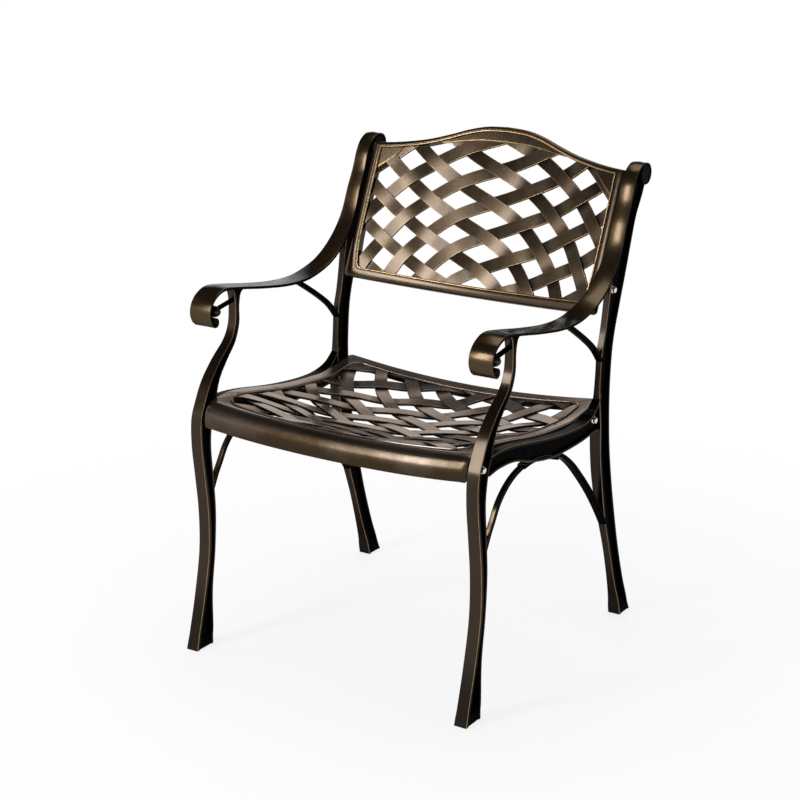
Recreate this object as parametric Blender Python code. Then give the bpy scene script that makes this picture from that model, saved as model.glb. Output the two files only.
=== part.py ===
"""A cast aluminum patio armchair: two scrolled side frames, a woven seat, a woven back and eight bolts.

X runs to the viewer's right when facing the chair, +Y to the chair's back, +Z up. The origin is on
the floor under the middle of the chair. Side views are drawn as (y, z) stations in millimetres.
"""

import functools
import math

import bmesh
import bpy
import numpy as np

MM = 0.001

# How the four castings stand
FRAME_SPACING = 576.0  # between the mid-planes of the two side frames
CLEARANCE = 0.3  # gap between pieces that touch

# Sections of the side frame
WEB_THICKNESS = 7.0
FLANGE_THICKNESS = 5.0
RAIL_WIDTH = 23.0
RAIL_FOOT_WIDTH = 18.0
STRAP_THICKNESS = 7.0
STRAP_CROWN = 2.0
STRAP_BEVEL = 1.5
BRACE_WIDTH = 12.0
BRACE_DEPTH = 9.0
REAR_STRUT_WIDTH = 16.0
FRONT_STRUT_WIDTH = 10.0
STRUT_DEPTH = 8.5
STEM_WIDTH = 14.0
STEM_DEPTH = 7.0
ROLL_RADIUS = 9.0
BALL_RADIUS = 11.0
BALL_HALF_WIDTH = 10.0
TOP_SCROLL_RADIUS = 20.0

# Back panel
BACK_RECLINE = 24.3  # degrees
BACK_FOOT = (183.4, 629.8)  # where the panel's mid-plane starts, above its bottom rail
BACK_BOW = 26.0
BACK_GAP_TO_MIDPLANE = 15.3  # from a frame's mid-plane to the panel's side
BACK_HALF = FRAME_SPACING / 2 - BACK_GAP_TO_MIDPLANE
BACK_SIDE_RAIL = 19.5
BACK_BOTTOM_RAIL = 20.0
BACK_TOP_RAIL = 12.0
BACK_RAIL_FRONT = 7.0
BACK_RAIL_REAR = 13.0
BACK_CORNER = 8.0
BACK_TAPER = 9.0  # how much nearer the side rails' inner edges are at the bottom
BACK_TAPER_HEIGHT = 70.0

# Seat
SEAT_HALF = FRAME_SPACING / 2 - RAIL_WIDTH / 2 - CLEARANCE
SEAT_REAR = 200.0
SEAT_FRONT = -250.0
SEAT_FRONT_BOW = 8.0
SEAT_REAR_CORNERS = (6.0, 28.0)  # radius outside and inside the rim
SEAT_FRONT_CORNERS = (4.0, 38.0)
SEAT_SIDE_RIM = 25.0
SEAT_REAR_RIM = 22.0
SEAT_FRONT_RIM = 12.0
SEAT_WALL = 6.0
SKIRT_DEPTH = 27.0
APRON_DEPTH = 43.0
APRON_REACH = 22.0

# Woven strips
BACK_ROW = 32.4  # height of one cell up the middle of the back
BACK_CELLS = (-1.6, 10.0, 6.2)  # the back's weave runs over these cells: lowest, highest, out
SEAT_ROW = 29.4  # length of one cell along the middle of the seat
SEAT_CELLS = (-6.6, 9.6, 6.2)  # the same for the seat, counted from the front
STRIP_WIDTH = 25.0
STRIP_THICKNESS = 5.0
WEAVE_RISE = 1.8  # how far a strip's middle leaves the panel's mid-surface at a crossing
BEAD_WIDTH = 5.0
BEAD_RISE = 2.0
WEAVE_REACH = WEAVE_RISE + STRIP_THICKNESS / 2
PLATE_HALF_THICKNESS = WEAVE_REACH + 0.3  # the flat plates at the crest and in the upper corners
SEAT_RIM_HALF_DEPTH = WEAVE_REACH + 0.7
DISH_HALF = 0.96 * SEAT_HALF  # the seat is dished and the back bowed as far out as this

# Bolts
BOLT_SHANK = 6.0
BOLT_HEAD = 10.0
BOLT_HEAD_HEIGHT = 4.5
BOLT_FLANGE = 14.0
BOLT_FLANGE_HEIGHT = 1.5
BOLT_BITE = 11.0
BOSS_RADIUS = 8.0
LUG_LENGTH = 16.0
HOLE_END_GAP = 1.0
BOLT_HOLE = BOLT_SHANK + 2 * CLEARANCE
SEAT_BOLTS = ((-252.0, 446.0), (146.0, 424.0))
BACK_BOLTS_UP = (32.0, 196.0)  # distances up the panel
BACK_BOLT_SETBACK = 11.0  # behind the panel's mid-plane

# Side frame members. Front leg and post: front y, z, back y, z, front and back flange width,
# front flange thickness and how much of the channel is filled in.
FRONT_LEG = (
    (-308, 0, -260, 0, 25, 25, 8, 1),
    (-301, 18, -259, 18, 24, 24, 8, 1),
    (-295, 32, -256, 34, 23, 22, 8, 0),
    (-279, 100, -252, 104, 23, 18, 8, 0),
    (-264, 180, -239, 179, 23, 15, 8, 0),
    (-262, 255, -233.5, 255, 23, 14, 8, 0),
    (-269, 325, -238, 325, 23, 14, 7, 0),
    (-276, 385, -242, 385, 23, 14, 6, 0),
    (-275, 435, -236, 435, 23, 16, 5, 0),
    (-262, 468, -227, 462, 23, 17, 5, 0),
    (-243, 502, -212, 500, 22, 16, 5, 0),
    (-213, 535, -188, 530, 20, 15, 5, 0),
    (-180, 563, -163, 558, 18, 15, 5, 0.4),
    (-165, 590, -150, 590, 17, 15, 5, 1),
    (-162, 622, -149, 622, 16, 15, 5, 1),
    (-164, 645, -143, 645, 16, 15, 5, 1),
    (-172, 660, -128, 652, 16, 15, 5, 1),
)
POST = (
    (268, 846, 318, 842, 20, 18, 5, 0.3),
    (255, 815, 303, 812, 20, 18, 5, 0),
    (239, 780, 282, 778, 20, 18, 5, 0),
    (222, 740, 267, 738, 18, 18, 5, 0),
    (203, 700, 254, 700, 15, 18, 5, 0),
    (193, 660, 242, 666, 13, 18, 5, 0),
    (186, 620, 226, 622, 12, 18, 5, 0),
    (178, 580, 211, 579, 12, 18, 5, 0),
    (168, 545, 203, 543, 12, 18, 5, 0),
    (164, 500, 199, 500, 11, 18, 5, 0),
    (162, 460, 196, 460, 14, 20, 5, 0),
    (161, 410, 198, 410, 22, 20, 5, 0),
    (164, 350, 204, 350, 22, 20, 5, 0),
    (176, 285, 216, 285, 21, 20, 5, 0),
    (196, 217, 234, 217, 16, 18, 5, 0),
    (221, 147, 253, 147, 14, 18, 5, 0),
    (243, 77, 275, 77, 16, 20, 5, 0),
    (256, 36, 290, 36, 21, 23, 6, 0),
    (260, 18, 296, 18, 24, 24, 6, 1),
    (264, 0, 304, 0, 25, 25, 6, 1),
)
# The seat rail under the rim: y, top z, bottom z and its top flange's width.
SEAT_RAIL = (
    (-235, 466, 430, 23),
    (-200, 467, 434, 23),
    (-150, 462, 431, 23),
    (-100, 453, 416, 23),
    (-50, 444, 404, 23),
    (0, 437, 398, 23),
    (50, 432, 397, 23),
    (95, 431, 398, 23),
    (128, 436, 401, 22),
    (148, 446, 402, 18),
    (170, 468, 398, 13),
)
# The strap: y, z on its crowned face, and its width, from the arm's roll up to the top scroll.
STRAP = (
    (-237, 602, 46),
    (-249, 607, 46),
    (-257, 625, 46),
    (-252, 646, 46),
    (-235, 662, 46),
    (-206, 670, 46),
    (-158, 663, 46),
    (-90, 650, 45),
    (-19, 639, 44),
    (37, 636, 42),
    (80, 641, 41),
    (124, 653, 39),
    (160, 673, 37),
    (191, 701, 34),
    (213, 733, 31),
    (231, 775, 29),
    (248, 808, 28),
    (261, 841, 27),
    (277, 862, 27),
    (300, 872, 27),
    (321, 866, 27),
    (330, 849, 27),
    (322, 831, 27),
)
ARM_BRACE = ((24, 632), (46, 622), (80, 602), (113, 581), (144, 558), (172, 528))
STEM = ((-160, 645), (-178, 639), (-198, 631), (-216, 626))
REAR_STRUT = ((8, 400), (34, 386), (66, 363), (102, 329), (140, 289), (175, 246), (205, 205))
FRONT_STRUT = ((-236, 296), (-222, 322), (-210, 340), (-192, 367), (-168, 388), (-140, 402.5), (-105, 411.5))
ARCH_CROWN = ((-112, 410.5), (-90, 412.5), (-66, 411.5), (-30, 405), (10, 392))
ARM_ROLL = (-237, 611)
ARM_BALL = (-220, 626)
TOP_SCROLL = (309, 850)

# The seat's rim and its dished middle in the side view: y, z.
SEAT_RIM_LINE = (
    (-260, 468), (-217, 471), (-187, 472), (-128, 463), (-66, 451), (-4, 441.5),
    (61, 436), (100, 434), (147, 439), (200, 447),
)
SEAT_PAN_LINE = (
    (-260, 460), (-200, 446), (-150, 428), (-80, 412), (-16, 406.5),
    (42, 405.5), (105, 408), (161, 420), (200, 430),
)

# The back's camelback line: share of the half width out from the middle, distance up the panel.
CAMELBACK = (
    (0, 299), (0.158, 296), (0.297, 286.5), (0.433, 272.5), (0.587, 258), (0.752, 247), (0.88, 240.5),
    (1.01, 236),
)
CREST_FALL = 17.0  # depth of the flat crescent under the crest
CREST_SHARE = 0.49  # share of the half width that the crescent reaches out to
GUSSET_SHARE = 0.77  # where the flat plates in the upper corners begin
GUSSET_DROP = 46.0

ALUMINUM = (0.10, 0.066, 0.036, 1)
ZINC = (0.72, 0.71, 0.68, 1)


def smooth(stations, steps):
    """Rows on a smooth curve through the stations, with the same number of steps in each span."""
    rows = np.array(stations, float)
    ends = np.vstack([2 * rows[0] - rows[1], rows, 2 * rows[-1] - rows[-2]])
    found = []
    for a, b, c, d in zip(ends, ends[1:], ends[2:], ends[3:]):
        for t in np.arange(steps) / steps:
            bend = (2 * a - 5 * b + 4 * c - d) * t**2 + (3 * b - a - 3 * c + d) * t**3
            found.append(0.5 * (2 * b + (c - a) * t + bend))
    return np.array(found + [rows[-1]])


@functools.lru_cache
def fine_line(stations):
    return smooth(stations, 6)


def height_on(stations, at):
    """The second value where the first is at, on a smooth curve through the stations."""
    line = fine_line(stations)
    return float(np.interp(at, line[:, 0], line[:, 1]))


def new_object(name, bm, smooth_angle=35):
    """An object made from millimetre geometry, closed, triangulated and facing out."""
    bmesh.ops.scale(bm, vec=(MM, MM, MM), verts=bm.verts)
    bmesh.ops.triangulate(bm, faces=bm.faces)
    bmesh.ops.recalc_face_normals(bm, faces=bm.faces)
    mesh = bpy.data.meshes.new(name)
    bm.to_mesh(mesh)
    bm.free()
    mesh.shade_smooth()
    mesh.set_sharp_from_angle(angle=math.radians(smooth_angle))
    obj = bpy.data.objects.new(name, mesh)
    bpy.context.scene.collection.objects.link(obj)
    return obj


def add_loft(bm, rings, closed=False):
    """Faces between rings of points, with end caps unless the rings form a closed loop."""
    made = [[bm.verts.new(point) for point in ring] for ring in rings]
    pairs = list(zip(made, made[1:]))
    if closed:
        pairs.append((made[-1], made[0]))
    for one, two in pairs:
        for k in range(len(one)):
            n = (k + 1) % len(one)
            bm.faces.new((one[k], one[n], two[n], two[k]))
    if not closed:
        bm.faces.new(made[0])
        bm.faces.new(made[-1])


def loft(name, rings, closed=False):
    bm = bmesh.new()
    add_loft(bm, rings, closed)
    return new_object(name, bm)


def bar(name, x0, x1, centre, radius, sides=20):
    """A round bar along X, with its centre given as (y, z)."""
    turns = 2 * math.pi * np.arange(sides) / sides
    around = [(centre[0] + radius * math.cos(t), centre[1] + radius * math.sin(t)) for t in turns]
    return loft(name, [[(x, y, z) for y, z in around] for x in (x0, x1)])


def fused(name, pieces, cutters=()):
    """One solid: the pieces joined, the cutters taken away. The helpers are removed afterwards."""
    body = pieces[0]
    for helper in list(pieces[1:]) + list(cutters):
        join = body.modifiers.new(helper.name, "BOOLEAN")
        join.operation = "DIFFERENCE" if helper in cutters else "UNION"
        join.solver = "EXACT"
        join.object = helper
    graph = bpy.context.evaluated_depsgraph_get()
    mesh = bpy.data.meshes.new_from_object(body.evaluated_get(graph))
    for helper in list(pieces) + list(cutters):
        bpy.data.objects.remove(helper)
    mesh.name = name
    obj = bpy.data.objects.new(name, mesh)
    bpy.context.scene.collection.objects.link(obj)
    return obj


def channel(name, stations, steps):
    """A cast member with a front flange, a back flange and a web between them."""
    rings = []
    for fy, fz, by, bz, front, back, thick, fill in smooth(stations, steps):
        fill = min(max(fill, 0), 1)
        f, b = front / 2, back / 2
        web_f = WEB_THICKNESS / 2 + fill * (f - WEB_THICKNESS / 2)
        web_b = WEB_THICKNESS / 2 + fill * (b - WEB_THICKNESS / 2)
        depth = math.hypot(by - fy, bz - fz)
        uy, uz = (by - fy) / depth, (bz - fz) / depth
        fi = (fy + uy * thick, fz + uz * thick)
        bi = (by - uy * FLANGE_THICKNESS, bz - uz * FLANGE_THICKNESS)
        half = [
            (f, fy, fz), (f, *fi), (web_f, *fi), (web_b, *bi), (b, *bi), (b, by, bz),
        ]
        rings.append(half + [(-x, y, z) for x, y, z in reversed(half)])
    return loft(name, rings)


def seat_rail():
    """The deep rail under the seat's rim, a channel on its side."""
    rows = []
    for y, top, bottom, width in SEAT_RAIL:
        rows.append((y, top, y, bottom, width, RAIL_FOOT_WIDTH, FLANGE_THICKNESS, 0))
    return channel("rail", rows, 1)


def across(points):
    """Unit vectors square to a curve in the side view, to the left of its direction."""
    along = np.gradient(points[:, :2], axis=0)
    along /= np.linalg.norm(along, axis=1)[:, None]
    return np.stack([-along[:, 1], along[:, 0]], axis=1)


def strap():
    """The arm's crowned strap, rolled at its front end and swept up the post to the top scroll."""
    rows = smooth(STRAP, 2)
    rings = []
    for (y, z, width), (ny, nz) in zip(rows, across(rows)):
        half = width / 2
        outline = (
            (-half, -STRAP_CROWN), (-half * 0.55, -STRAP_CROWN * 0.3), (0, 0),
            (half * 0.55, -STRAP_CROWN * 0.3), (half, -STRAP_CROWN),
            (half - STRAP_BEVEL, -STRAP_THICKNESS + STRAP_BEVEL), (0, -STRAP_THICKNESS),
            (STRAP_BEVEL - half, -STRAP_THICKNESS + STRAP_BEVEL),
        )
        rings.append([(x, y + d * ny, z + d * nz) for x, d in outline])
    return loft("strap", rings)


def rod(name, stations, steps, width, depth):
    """A strut with an eight-sided section, along a curve in the side view."""
    rows = smooth(stations, steps)
    w, d = width / 2, depth / 2
    outline = (
        (-w, -d * 0.5), (-w * 0.6, -d), (w * 0.6, -d), (w, -d * 0.5),
        (w, d * 0.5), (w * 0.6, d), (-w * 0.6, d), (-w, d * 0.5),
    )
    rings = []
    for (y, z), (ny, nz) in zip(rows, across(rows)):
        rings.append([(x, y + a * ny, z + a * nz) for x, a in outline])
    return loft(name, rings)


def ball(name, centre, radius, half_width):
    bm = bmesh.new()
    bmesh.ops.create_icosphere(bm, subdivisions=2, radius=radius)
    for v in bm.verts:
        v.co = (v.co.x * half_width / radius, v.co.y + centre[0], v.co.z + centre[1])
    return new_object(name, bm)


def panel_point(x, up, back=0.0):
    """A point of the back: x across, a distance up its mid-surface and a distance behind it."""
    lean = math.radians(BACK_RECLINE)
    bowed = BACK_BOW * max(0.0, 1 - (x / DISH_HALF) ** 2)
    slope = -2 * BACK_BOW * x / DISH_HALF**2 if bowed else 0.0
    tilt = math.hypot(1, slope)
    off = bowed + back / tilt
    y = BACK_FOOT[0] + up * math.sin(lean) + off * math.cos(lean)
    z = BACK_FOOT[1] + up * math.cos(lean) - off * math.sin(lean)
    return (x - back * slope / tilt, y, z)


def bolt_places():
    """(y, z, distance from the frame's mid-plane to what the bolt goes into) for one side's bolts."""
    places = [(y, z, RAIL_WIDTH / 2 + CLEARANCE) for y, z in SEAT_BOLTS]
    for up in BACK_BOLTS_UP:
        _, y, z = panel_point(BACK_HALF, up, BACK_BOLT_SETBACK)
        places.append((y, z, BACK_GAP_TO_MIDPLANE))
    return places


def side_frame(name, side):
    """One side casting, made at the origin with its outer side at +X, then mirrored and moved."""
    roll, scroll = (width / 2 + CLEARANCE for width in (STRAP[0][2], STRAP[-1][2]))
    pieces = [
        strap(),
        channel("front leg", FRONT_LEG, 1),
        channel("post", POST, 1),
        seat_rail(),
        rod("arm brace", ARM_BRACE, 2, BRACE_WIDTH, BRACE_DEPTH),
        rod("rear strut", REAR_STRUT, 1, REAR_STRUT_WIDTH, STRUT_DEPTH),
        rod("front strut", FRONT_STRUT, 1, FRONT_STRUT_WIDTH, STRUT_DEPTH),
        rod("arch crown", ARCH_CROWN, 2, REAR_STRUT_WIDTH, STRUT_DEPTH),
        rod("stem", STEM, 2, STEM_WIDTH, STEM_DEPTH),
        bar("arm roll", -roll, roll, ARM_ROLL, ROLL_RADIUS),
        ball("arm ball", ARM_BALL, BALL_RADIUS, BALL_HALF_WIDTH),
        bar("scroll", -scroll, scroll, TOP_SCROLL, TOP_SCROLL_RADIUS, 24),
    ]
    holes = []
    for y, z, reach in bolt_places():
        pieces.append(bar("boss", CLEARANCE - reach, 0, (y, z), BOSS_RADIUS, 16))
        holes.append(bar("hole", -reach - RAIL_WIDTH, RAIL_WIDTH, (y, z), BOLT_HOLE / 2, 12))
    frame = fused(name, pieces, holes)
    bm = bmesh.new()
    bm.from_mesh(frame.data)
    for v in bm.verts:
        v.co.x = side * (v.co.x + FRAME_SPACING / 2 * MM)
    if side < 0:
        bmesh.ops.reverse_faces(bm, faces=bm.faces)
    bm.to_mesh(frame.data)
    bm.free()
    return frame


def half_steps(low, high):
    """The numbers 0.5 past a whole number from low to high."""
    return [k + 0.5 for k in range(math.floor(low), math.ceil(high)) if low <= k + 0.5 <= high]


def strips(name, place, family, cells_low, cells_high, cells_out):
    """One family of woven strips as a single mesh of ribbons that don't touch.

    place(c, s, lift) gives a point of the panel for the weave's own coordinates: c counts cells
    out from the middle line, s counts them from the near edge, and lift is the height over the
    mid-surface. Family 1 runs up with c and is the upper one where c is odd, family -1 the other.
    """
    bm = bmesh.new()
    for line in half_steps(cells_low / 2 - cells_out, cells_high / 2 + cells_out):
        rings = []
        for crossing in half_steps(cells_low - line, cells_high - line):
            middle = family * (crossing - line)
            if abs(middle) > cells_out:
                continue
            over = (round(middle) % 2 == 1) == (family == 1)
            lift = WEAVE_RISE if over else -WEAVE_RISE
            c, s = middle, crossing + line
            here = np.array(place(c, s, 0.0))
            along = np.array(place(c + family * 0.05, s + 0.05, 0.0)) - here
            along /= np.linalg.norm(along)
            normal = np.array(place(c, s, 1.0)) - here
            normal /= np.linalg.norm(normal)
            wide = np.cross(normal, along)
            half, deep = STRIP_WIDTH / 2, STRIP_THICKNESS / 2
            outline = ((-half, deep), (half, deep), (half, -deep), (-half, -deep))
            rings.append([here + w * wide + (lift + d) * normal for w, d in outline])
        if len(rings) > 1:
            add_loft(bm, rings)
    return new_object(name, bm)


def back_place(c, s, lift):
    """The back's fanned weave. Lift is toward the sitter."""
    out = 0.154 * abs(c) + 0.257 * (1 - math.exp(-0.68 * abs(c)))
    x = math.copysign(BACK_HALF * out, c) * (1 - 0.0039 * (8 - s) ** 2)
    arched = 2.27 * (math.hypot(c, 1) - 1) * (7.5 - s)
    return panel_point(x, BACK_ROW * s - arched, -lift)


def camelback(x):
    """Height of the top rail's inner edge at a distance across the back."""
    return height_on(CAMELBACK, abs(x) / BACK_HALF)


def back_outline(inset):
    """A closed loop of (x, up) round the back, inset from its outer edge by a share of each rail."""
    half = BACK_HALF - inset * BACK_SIDE_RAIL
    low = -BACK_BOTTOM_RAIL * (1 - inset)
    corner = BACK_CORNER
    across_x = np.linspace(-1, 1, 25)
    loop = [(half * t, low) for t in (-0.6, -0.3, 0, 0.3, 0.6)]
    for k in range(5):
        a = math.radians(-90 + 22.5 * k)
        loop.append((half - corner + corner * math.cos(a), low + corner + corner * math.sin(a)))
    top = camelback(half) + BACK_TOP_RAIL * (1 - inset)
    loop += [(half, low + corner + (top - low - corner) * t) for t in (0.25, 0.5, 0.75)]
    for t in reversed(across_x):
        loop.append((half * t, camelback(half * t) + BACK_TOP_RAIL * (1 - inset)))
    loop += [(-half, low + corner + (top - low - corner) * t) for t in (0.75, 0.5, 0.25)]
    for k in range(5):
        a = math.radians(180 + 22.5 * k)
        loop.append((corner - half + corner * math.cos(a), low + corner + corner * math.sin(a)))
    tapered = []
    for x, up in loop:
        narrow = BACK_TAPER * inset * max(0.0, 1 - max(up, 0.0) / BACK_TAPER_HEIGHT) ** 2
        tapered.append((x * (1 - narrow / half), up))
    return tapered


def back_frame():
    """The back's rails: a ring with a bead along its inner edge."""
    rings = []
    for (xo, uo), (xi, ui) in zip(back_outline(0), back_outline(1)):
        width = math.hypot(xo - xi, uo - ui)
        bead = min(BEAD_WIDTH / width, 0.35)
        section = (
            (0, -BACK_RAIL_FRONT + 2), (0.12, -BACK_RAIL_FRONT), (1 - bead, -BACK_RAIL_FRONT),
            (1 - bead / 2, -BACK_RAIL_FRONT - BEAD_RISE), (1, -BACK_RAIL_FRONT),
            (1, BACK_RAIL_REAR - 2), (0, BACK_RAIL_REAR),
        )
        rings.append([panel_point(xo + (xi - xo) * t, uo + (ui - uo) * t, n) for t, n in section])
    return loft("back rails", rings, closed=True)


def plate(name, columns):
    """A flat plate in the panel that ends inside the top rail. A column is (x, lower edge)."""
    rings = []
    for x, low in columns:
        high = camelback(x) + BACK_TOP_RAIL / 2
        corners = ((low, -1), (high, -1), (high, 1), (low, 1))
        rings.append([panel_point(x, up, side * PLATE_HALF_THICKNESS) for up, side in corners])
    return loft(name, rings)


def crescent():
    """The flat crescent under the camelback's crest."""
    reach = CREST_SHARE * BACK_HALF
    columns = []
    for x in np.linspace(-reach, reach, 17):
        columns.append((x, camelback(x) - 1 - CREST_FALL * (1 - (x / reach) ** 2)))
    return plate("crescent", columns)


def gussets():
    """The flat plates that fill the back's upper corners."""
    start = GUSSET_SHARE * BACK_HALF
    end = BACK_HALF - BACK_SIDE_RAIL / 2
    made = []
    for side in (-1, 1):
        columns = []
        for t in np.linspace(0, 1, 6):
            x = side * (start + (end - start) * t)
            columns.append((x, camelback(x) - 1 - GUSSET_DROP * t**0.8))
        made.append(plate("gusset", columns))
    return made


def trim_prism(name, loop, place):
    """A thick sheet over a closed loop, used to end the strips inside the rails."""
    depth = STRIP_WIDTH
    bm = bmesh.new()
    layers = []
    middle = np.mean(loop, axis=0)
    for off in (-depth, depth):
        rim = [bm.verts.new(place(a, b, off)) for a, b in loop]
        hub = bm.verts.new(place(middle[0], middle[1], off))
        layers.append(rim)
        for one, two in zip(rim, rim[1:] + rim[:1]):
            bm.faces.new((one, two, hub))
    low, high = layers
    for k in range(len(low)):
        n = (k + 1) % len(low)
        bm.faces.new((low[k], low[n], high[n], high[k]))
    return new_object(name, bm)


def trimmed(weave, trim):
    """The weave where it lies inside the trim."""
    cut = weave.modifiers.new("trim", "BOOLEAN")
    cut.operation = "INTERSECT"
    cut.solver = "EXACT"
    cut.object = trim
    graph = bpy.context.evaluated_depsgraph_get()
    mesh = bpy.data.meshes.new_from_object(weave.evaluated_get(graph))
    weave.modifiers.clear()
    weave.data = mesh
    bpy.data.objects.remove(trim)
    return weave


def finished(obj, colour, metallic, roughness):
    """Gives a piece its material."""
    material = bpy.data.materials.new(obj.name)
    material.use_nodes = True
    shader = material.node_tree.nodes["Principled BSDF"]
    shader.inputs["Base Color"].default_value = colour
    shader.inputs["Metallic"].default_value = metallic
    shader.inputs["Roughness"].default_value = roughness
    obj.data.materials.clear()
    obj.data.materials.append(material)


def bolt_lugs(half, centres):
    """The lugs and blind holes for bolts that enter a casting whose sides are at +half and -half."""
    lugs, holes = [], []
    for y, z in centres:
        for side in (-1, 1):
            x0, x1 = sorted((side * (half - CLEARANCE / 3), side * (half - LUG_LENGTH)))
            lugs.append(bar("lug", x0, x1, (y, z), BOSS_RADIUS, 14))
            x0, x1 = sorted((side * (half + BOSS_RADIUS), side * (half - BOLT_BITE - HOLE_END_GAP)))
            holes.append(bar("hole", x0, x1, (y, z), BOLT_HOLE / 2, 12))
    return lugs, holes


def back():
    """The woven back casting."""
    weave = [strips("strips", back_place, family, *BACK_CELLS) for family in (1, -1)]
    outline = back_outline(0.5)
    weave = [trimmed(w, trim_prism("trim", outline, panel_point)) for w in weave]
    centres = [panel_point(BACK_HALF, up, BACK_BOLT_SETBACK)[1:] for up in BACK_BOLTS_UP]
    lugs, holes = bolt_lugs(BACK_HALF, centres)
    return fused("back", [back_frame(), crescent(), *gussets(), *weave, *lugs], holes)


def seat_z(x, y):
    """Height of the seat's mid-surface."""
    rim = height_on(SEAT_RIM_LINE, y)
    pan = height_on(SEAT_PAN_LINE, y)
    return rim - (rim - pan) * max(0.0, 1 - (x / DISH_HALF) ** 2) - SEAT_RIM_HALF_DEPTH


def seat_point(x, y, lift=0.0):
    return (x, y, seat_z(x, y) + lift)


def seat_place(c, s, lift):
    """The seat's fanned weave. Lift is upward, square to the dished pan."""
    x = SEAT_HALF * (0.286 - 0.013 * s) * (1.035 * c - 0.035 * c * abs(c))
    y = SEAT_ROW * (s - 2.55 + 0.1 * abs(c) ** 1.1 * (s - 2.7))
    step = 2.0
    slope_x = (seat_z(x + step, y) - seat_z(x - step, y)) / (2 * step)
    slope_y = (seat_z(x, y + step) - seat_z(x, y - step)) / (2 * step)
    long = math.sqrt(1 + slope_x**2 + slope_y**2)
    return (x - lift * slope_x / long, y - lift * slope_y / long, seat_z(x, y) + lift / long)


def seat_outline(inset):
    """Points (x, y, apron share) round the seat, inset from its outer edge by a share of the rim."""
    half = SEAT_HALF - inset * SEAT_SIDE_RIM
    rear = SEAT_REAR - inset * SEAT_REAR_RIM
    front = SEAT_FRONT + inset * SEAT_FRONT_RIM
    rear_corner = SEAT_REAR_CORNERS[0] * (1 - inset) + SEAT_REAR_CORNERS[1] * inset
    front_corner = SEAT_FRONT_CORNERS[0] * (1 - inset) + SEAT_FRONT_CORNERS[1] * inset
    loop = []
    for t in np.linspace(-1, 1, 11):
        x = t * (half - front_corner)
        loop.append((x, front - SEAT_FRONT_BOW * (1 - t * t), 1.0))
    for k in (1, 2, 3):
        a = math.radians(-90 + 30 * k)
        x, y = half - front_corner + front_corner * math.cos(a), front + front_corner * (1 + math.sin(a))
        loop.append((x, y, 1 - k / 3))
    y0, y1 = front + front_corner, rear - rear_corner
    loop += [(half, y0 + (y1 - y0) * t, 0.0) for t in np.linspace(0, 1, 10)[1:-1]]
    for k in range(5):
        a = math.radians(22.5 * k)
        x, y = half - rear_corner + rear_corner * math.cos(a), rear + rear_corner * (math.sin(a) - 1)
        loop.append((x, y, 0.0))
    loop += [(t * (half - rear_corner), rear, 0.0) for t in np.linspace(1, -1, 9)[1:-1]]
    right = [row for row in loop if row[0] > 1e-6 and row[1] > front + 1e-6 and row[1] < rear]
    right = [row for row in right if row not in loop[:11]]
    end = (-(half - rear_corner), rear, 0.0)
    return loop + [end] + [(-x, y, share) for x, y, share in reversed(right)]


def seat_frame():
    """The seat's rim with its bead, its skirt at the sides and rear and its rolled front apron."""
    rings = []
    for (xo, yo, share), (xi, yi, _) in zip(seat_outline(0), seat_outline(1)):
        width = math.hypot(xi - xo, yi - yo)
        ux, uy = (xi - xo) / width, (yi - yo) / width
        ring = []
        bead = BEAD_WIDTH / width
        top = SEAT_RIM_HALF_DEPTH
        for t, lift in (
            (1, -top), (1, top), (1 - bead / 2, top + BEAD_RISE), (1 - bead, top), (0.12, top), (0, top - 1.5),
        ):
            x, y = xo + (xi - xo) * t, yo + (yi - yo) * t
            ring.append(seat_point(x, y, lift))
        depth = SKIRT_DEPTH + share * (APRON_DEPTH - SKIRT_DEPTH) - 1.5
        edge = ring[-1][2]
        for turn in (30, 60, 90):
            a = math.radians(turn)
            reach = share * APRON_REACH * math.sin(a)
            ring.append((xo, yo - reach, edge - depth * (1 - math.cos(a) if share else turn / 90)))
        xb, yb, zb = ring[-1]
        ring.append((xb + ux * SEAT_WALL, yb + uy * SEAT_WALL, zb))
        under = seat_point(xo + ux * SEAT_WALL, yo + uy * SEAT_WALL, -top)
        ring.append((under[0], under[1], min(under[2], edge - SEAT_WALL)))
        rings.append(ring)
    return loft("seat rim", rings, closed=True)


def seat():
    """The woven seat casting."""
    outline = [(x, y) for x, y, _ in seat_outline(0.6)]
    weave = [strips("strips", seat_place, family, *SEAT_CELLS) for family in (1, -1)]
    weave = [trimmed(w, trim_prism("trim", outline, seat_point)) for w in weave]
    lugs, holes = bolt_lugs(SEAT_HALF, SEAT_BOLTS)
    return fused("seat", [seat_frame(), *weave, *lugs], holes)


def bolt(name, side, y, z, reach):
    """A hex flange bolt, its flange on the frame's web and its shank in the casting beside it."""
    seat_x = WEB_THICKNESS / 2 + CLEARANCE
    head_x = seat_x + BOLT_FLANGE_HEIGHT
    end_x = head_x + BOLT_HEAD_HEIGHT
    hexagon = BOLT_HEAD / math.sqrt(3)
    sections = (
        (-reach - BOLT_BITE, BOLT_SHANK / 2, False),
        (seat_x, BOLT_SHANK / 2, False),
        (seat_x, BOLT_FLANGE / 2, False),
        (head_x, BOLT_FLANGE / 2 - 0.6, False),
        (head_x, hexagon, True),
        (end_x - 1, hexagon, True),
        (end_x, hexagon * 0.8, False),
    )
    rings = []
    for x, radius, six_sided in sections:
        ring = []
        for k in range(12):
            a = math.radians(30 * k)
            r = radius * (math.cos(math.radians(30)) if six_sided and k % 2 else 1)
            ring.append((side * (FRAME_SPACING / 2 + x), y + r * math.cos(a), z + r * math.sin(a)))
        rings.append(ring)
    return loft(name, rings)


def centre_on_floor():
    """Moves every piece so that the origin is under the middle of the whole chair's box."""
    pieces = list(bpy.data.objects)
    ys = [v.co.y for piece in pieces for v in piece.data.vertices]
    for piece in pieces:
        piece.location.y = -(min(ys) + max(ys)) / 2


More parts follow.
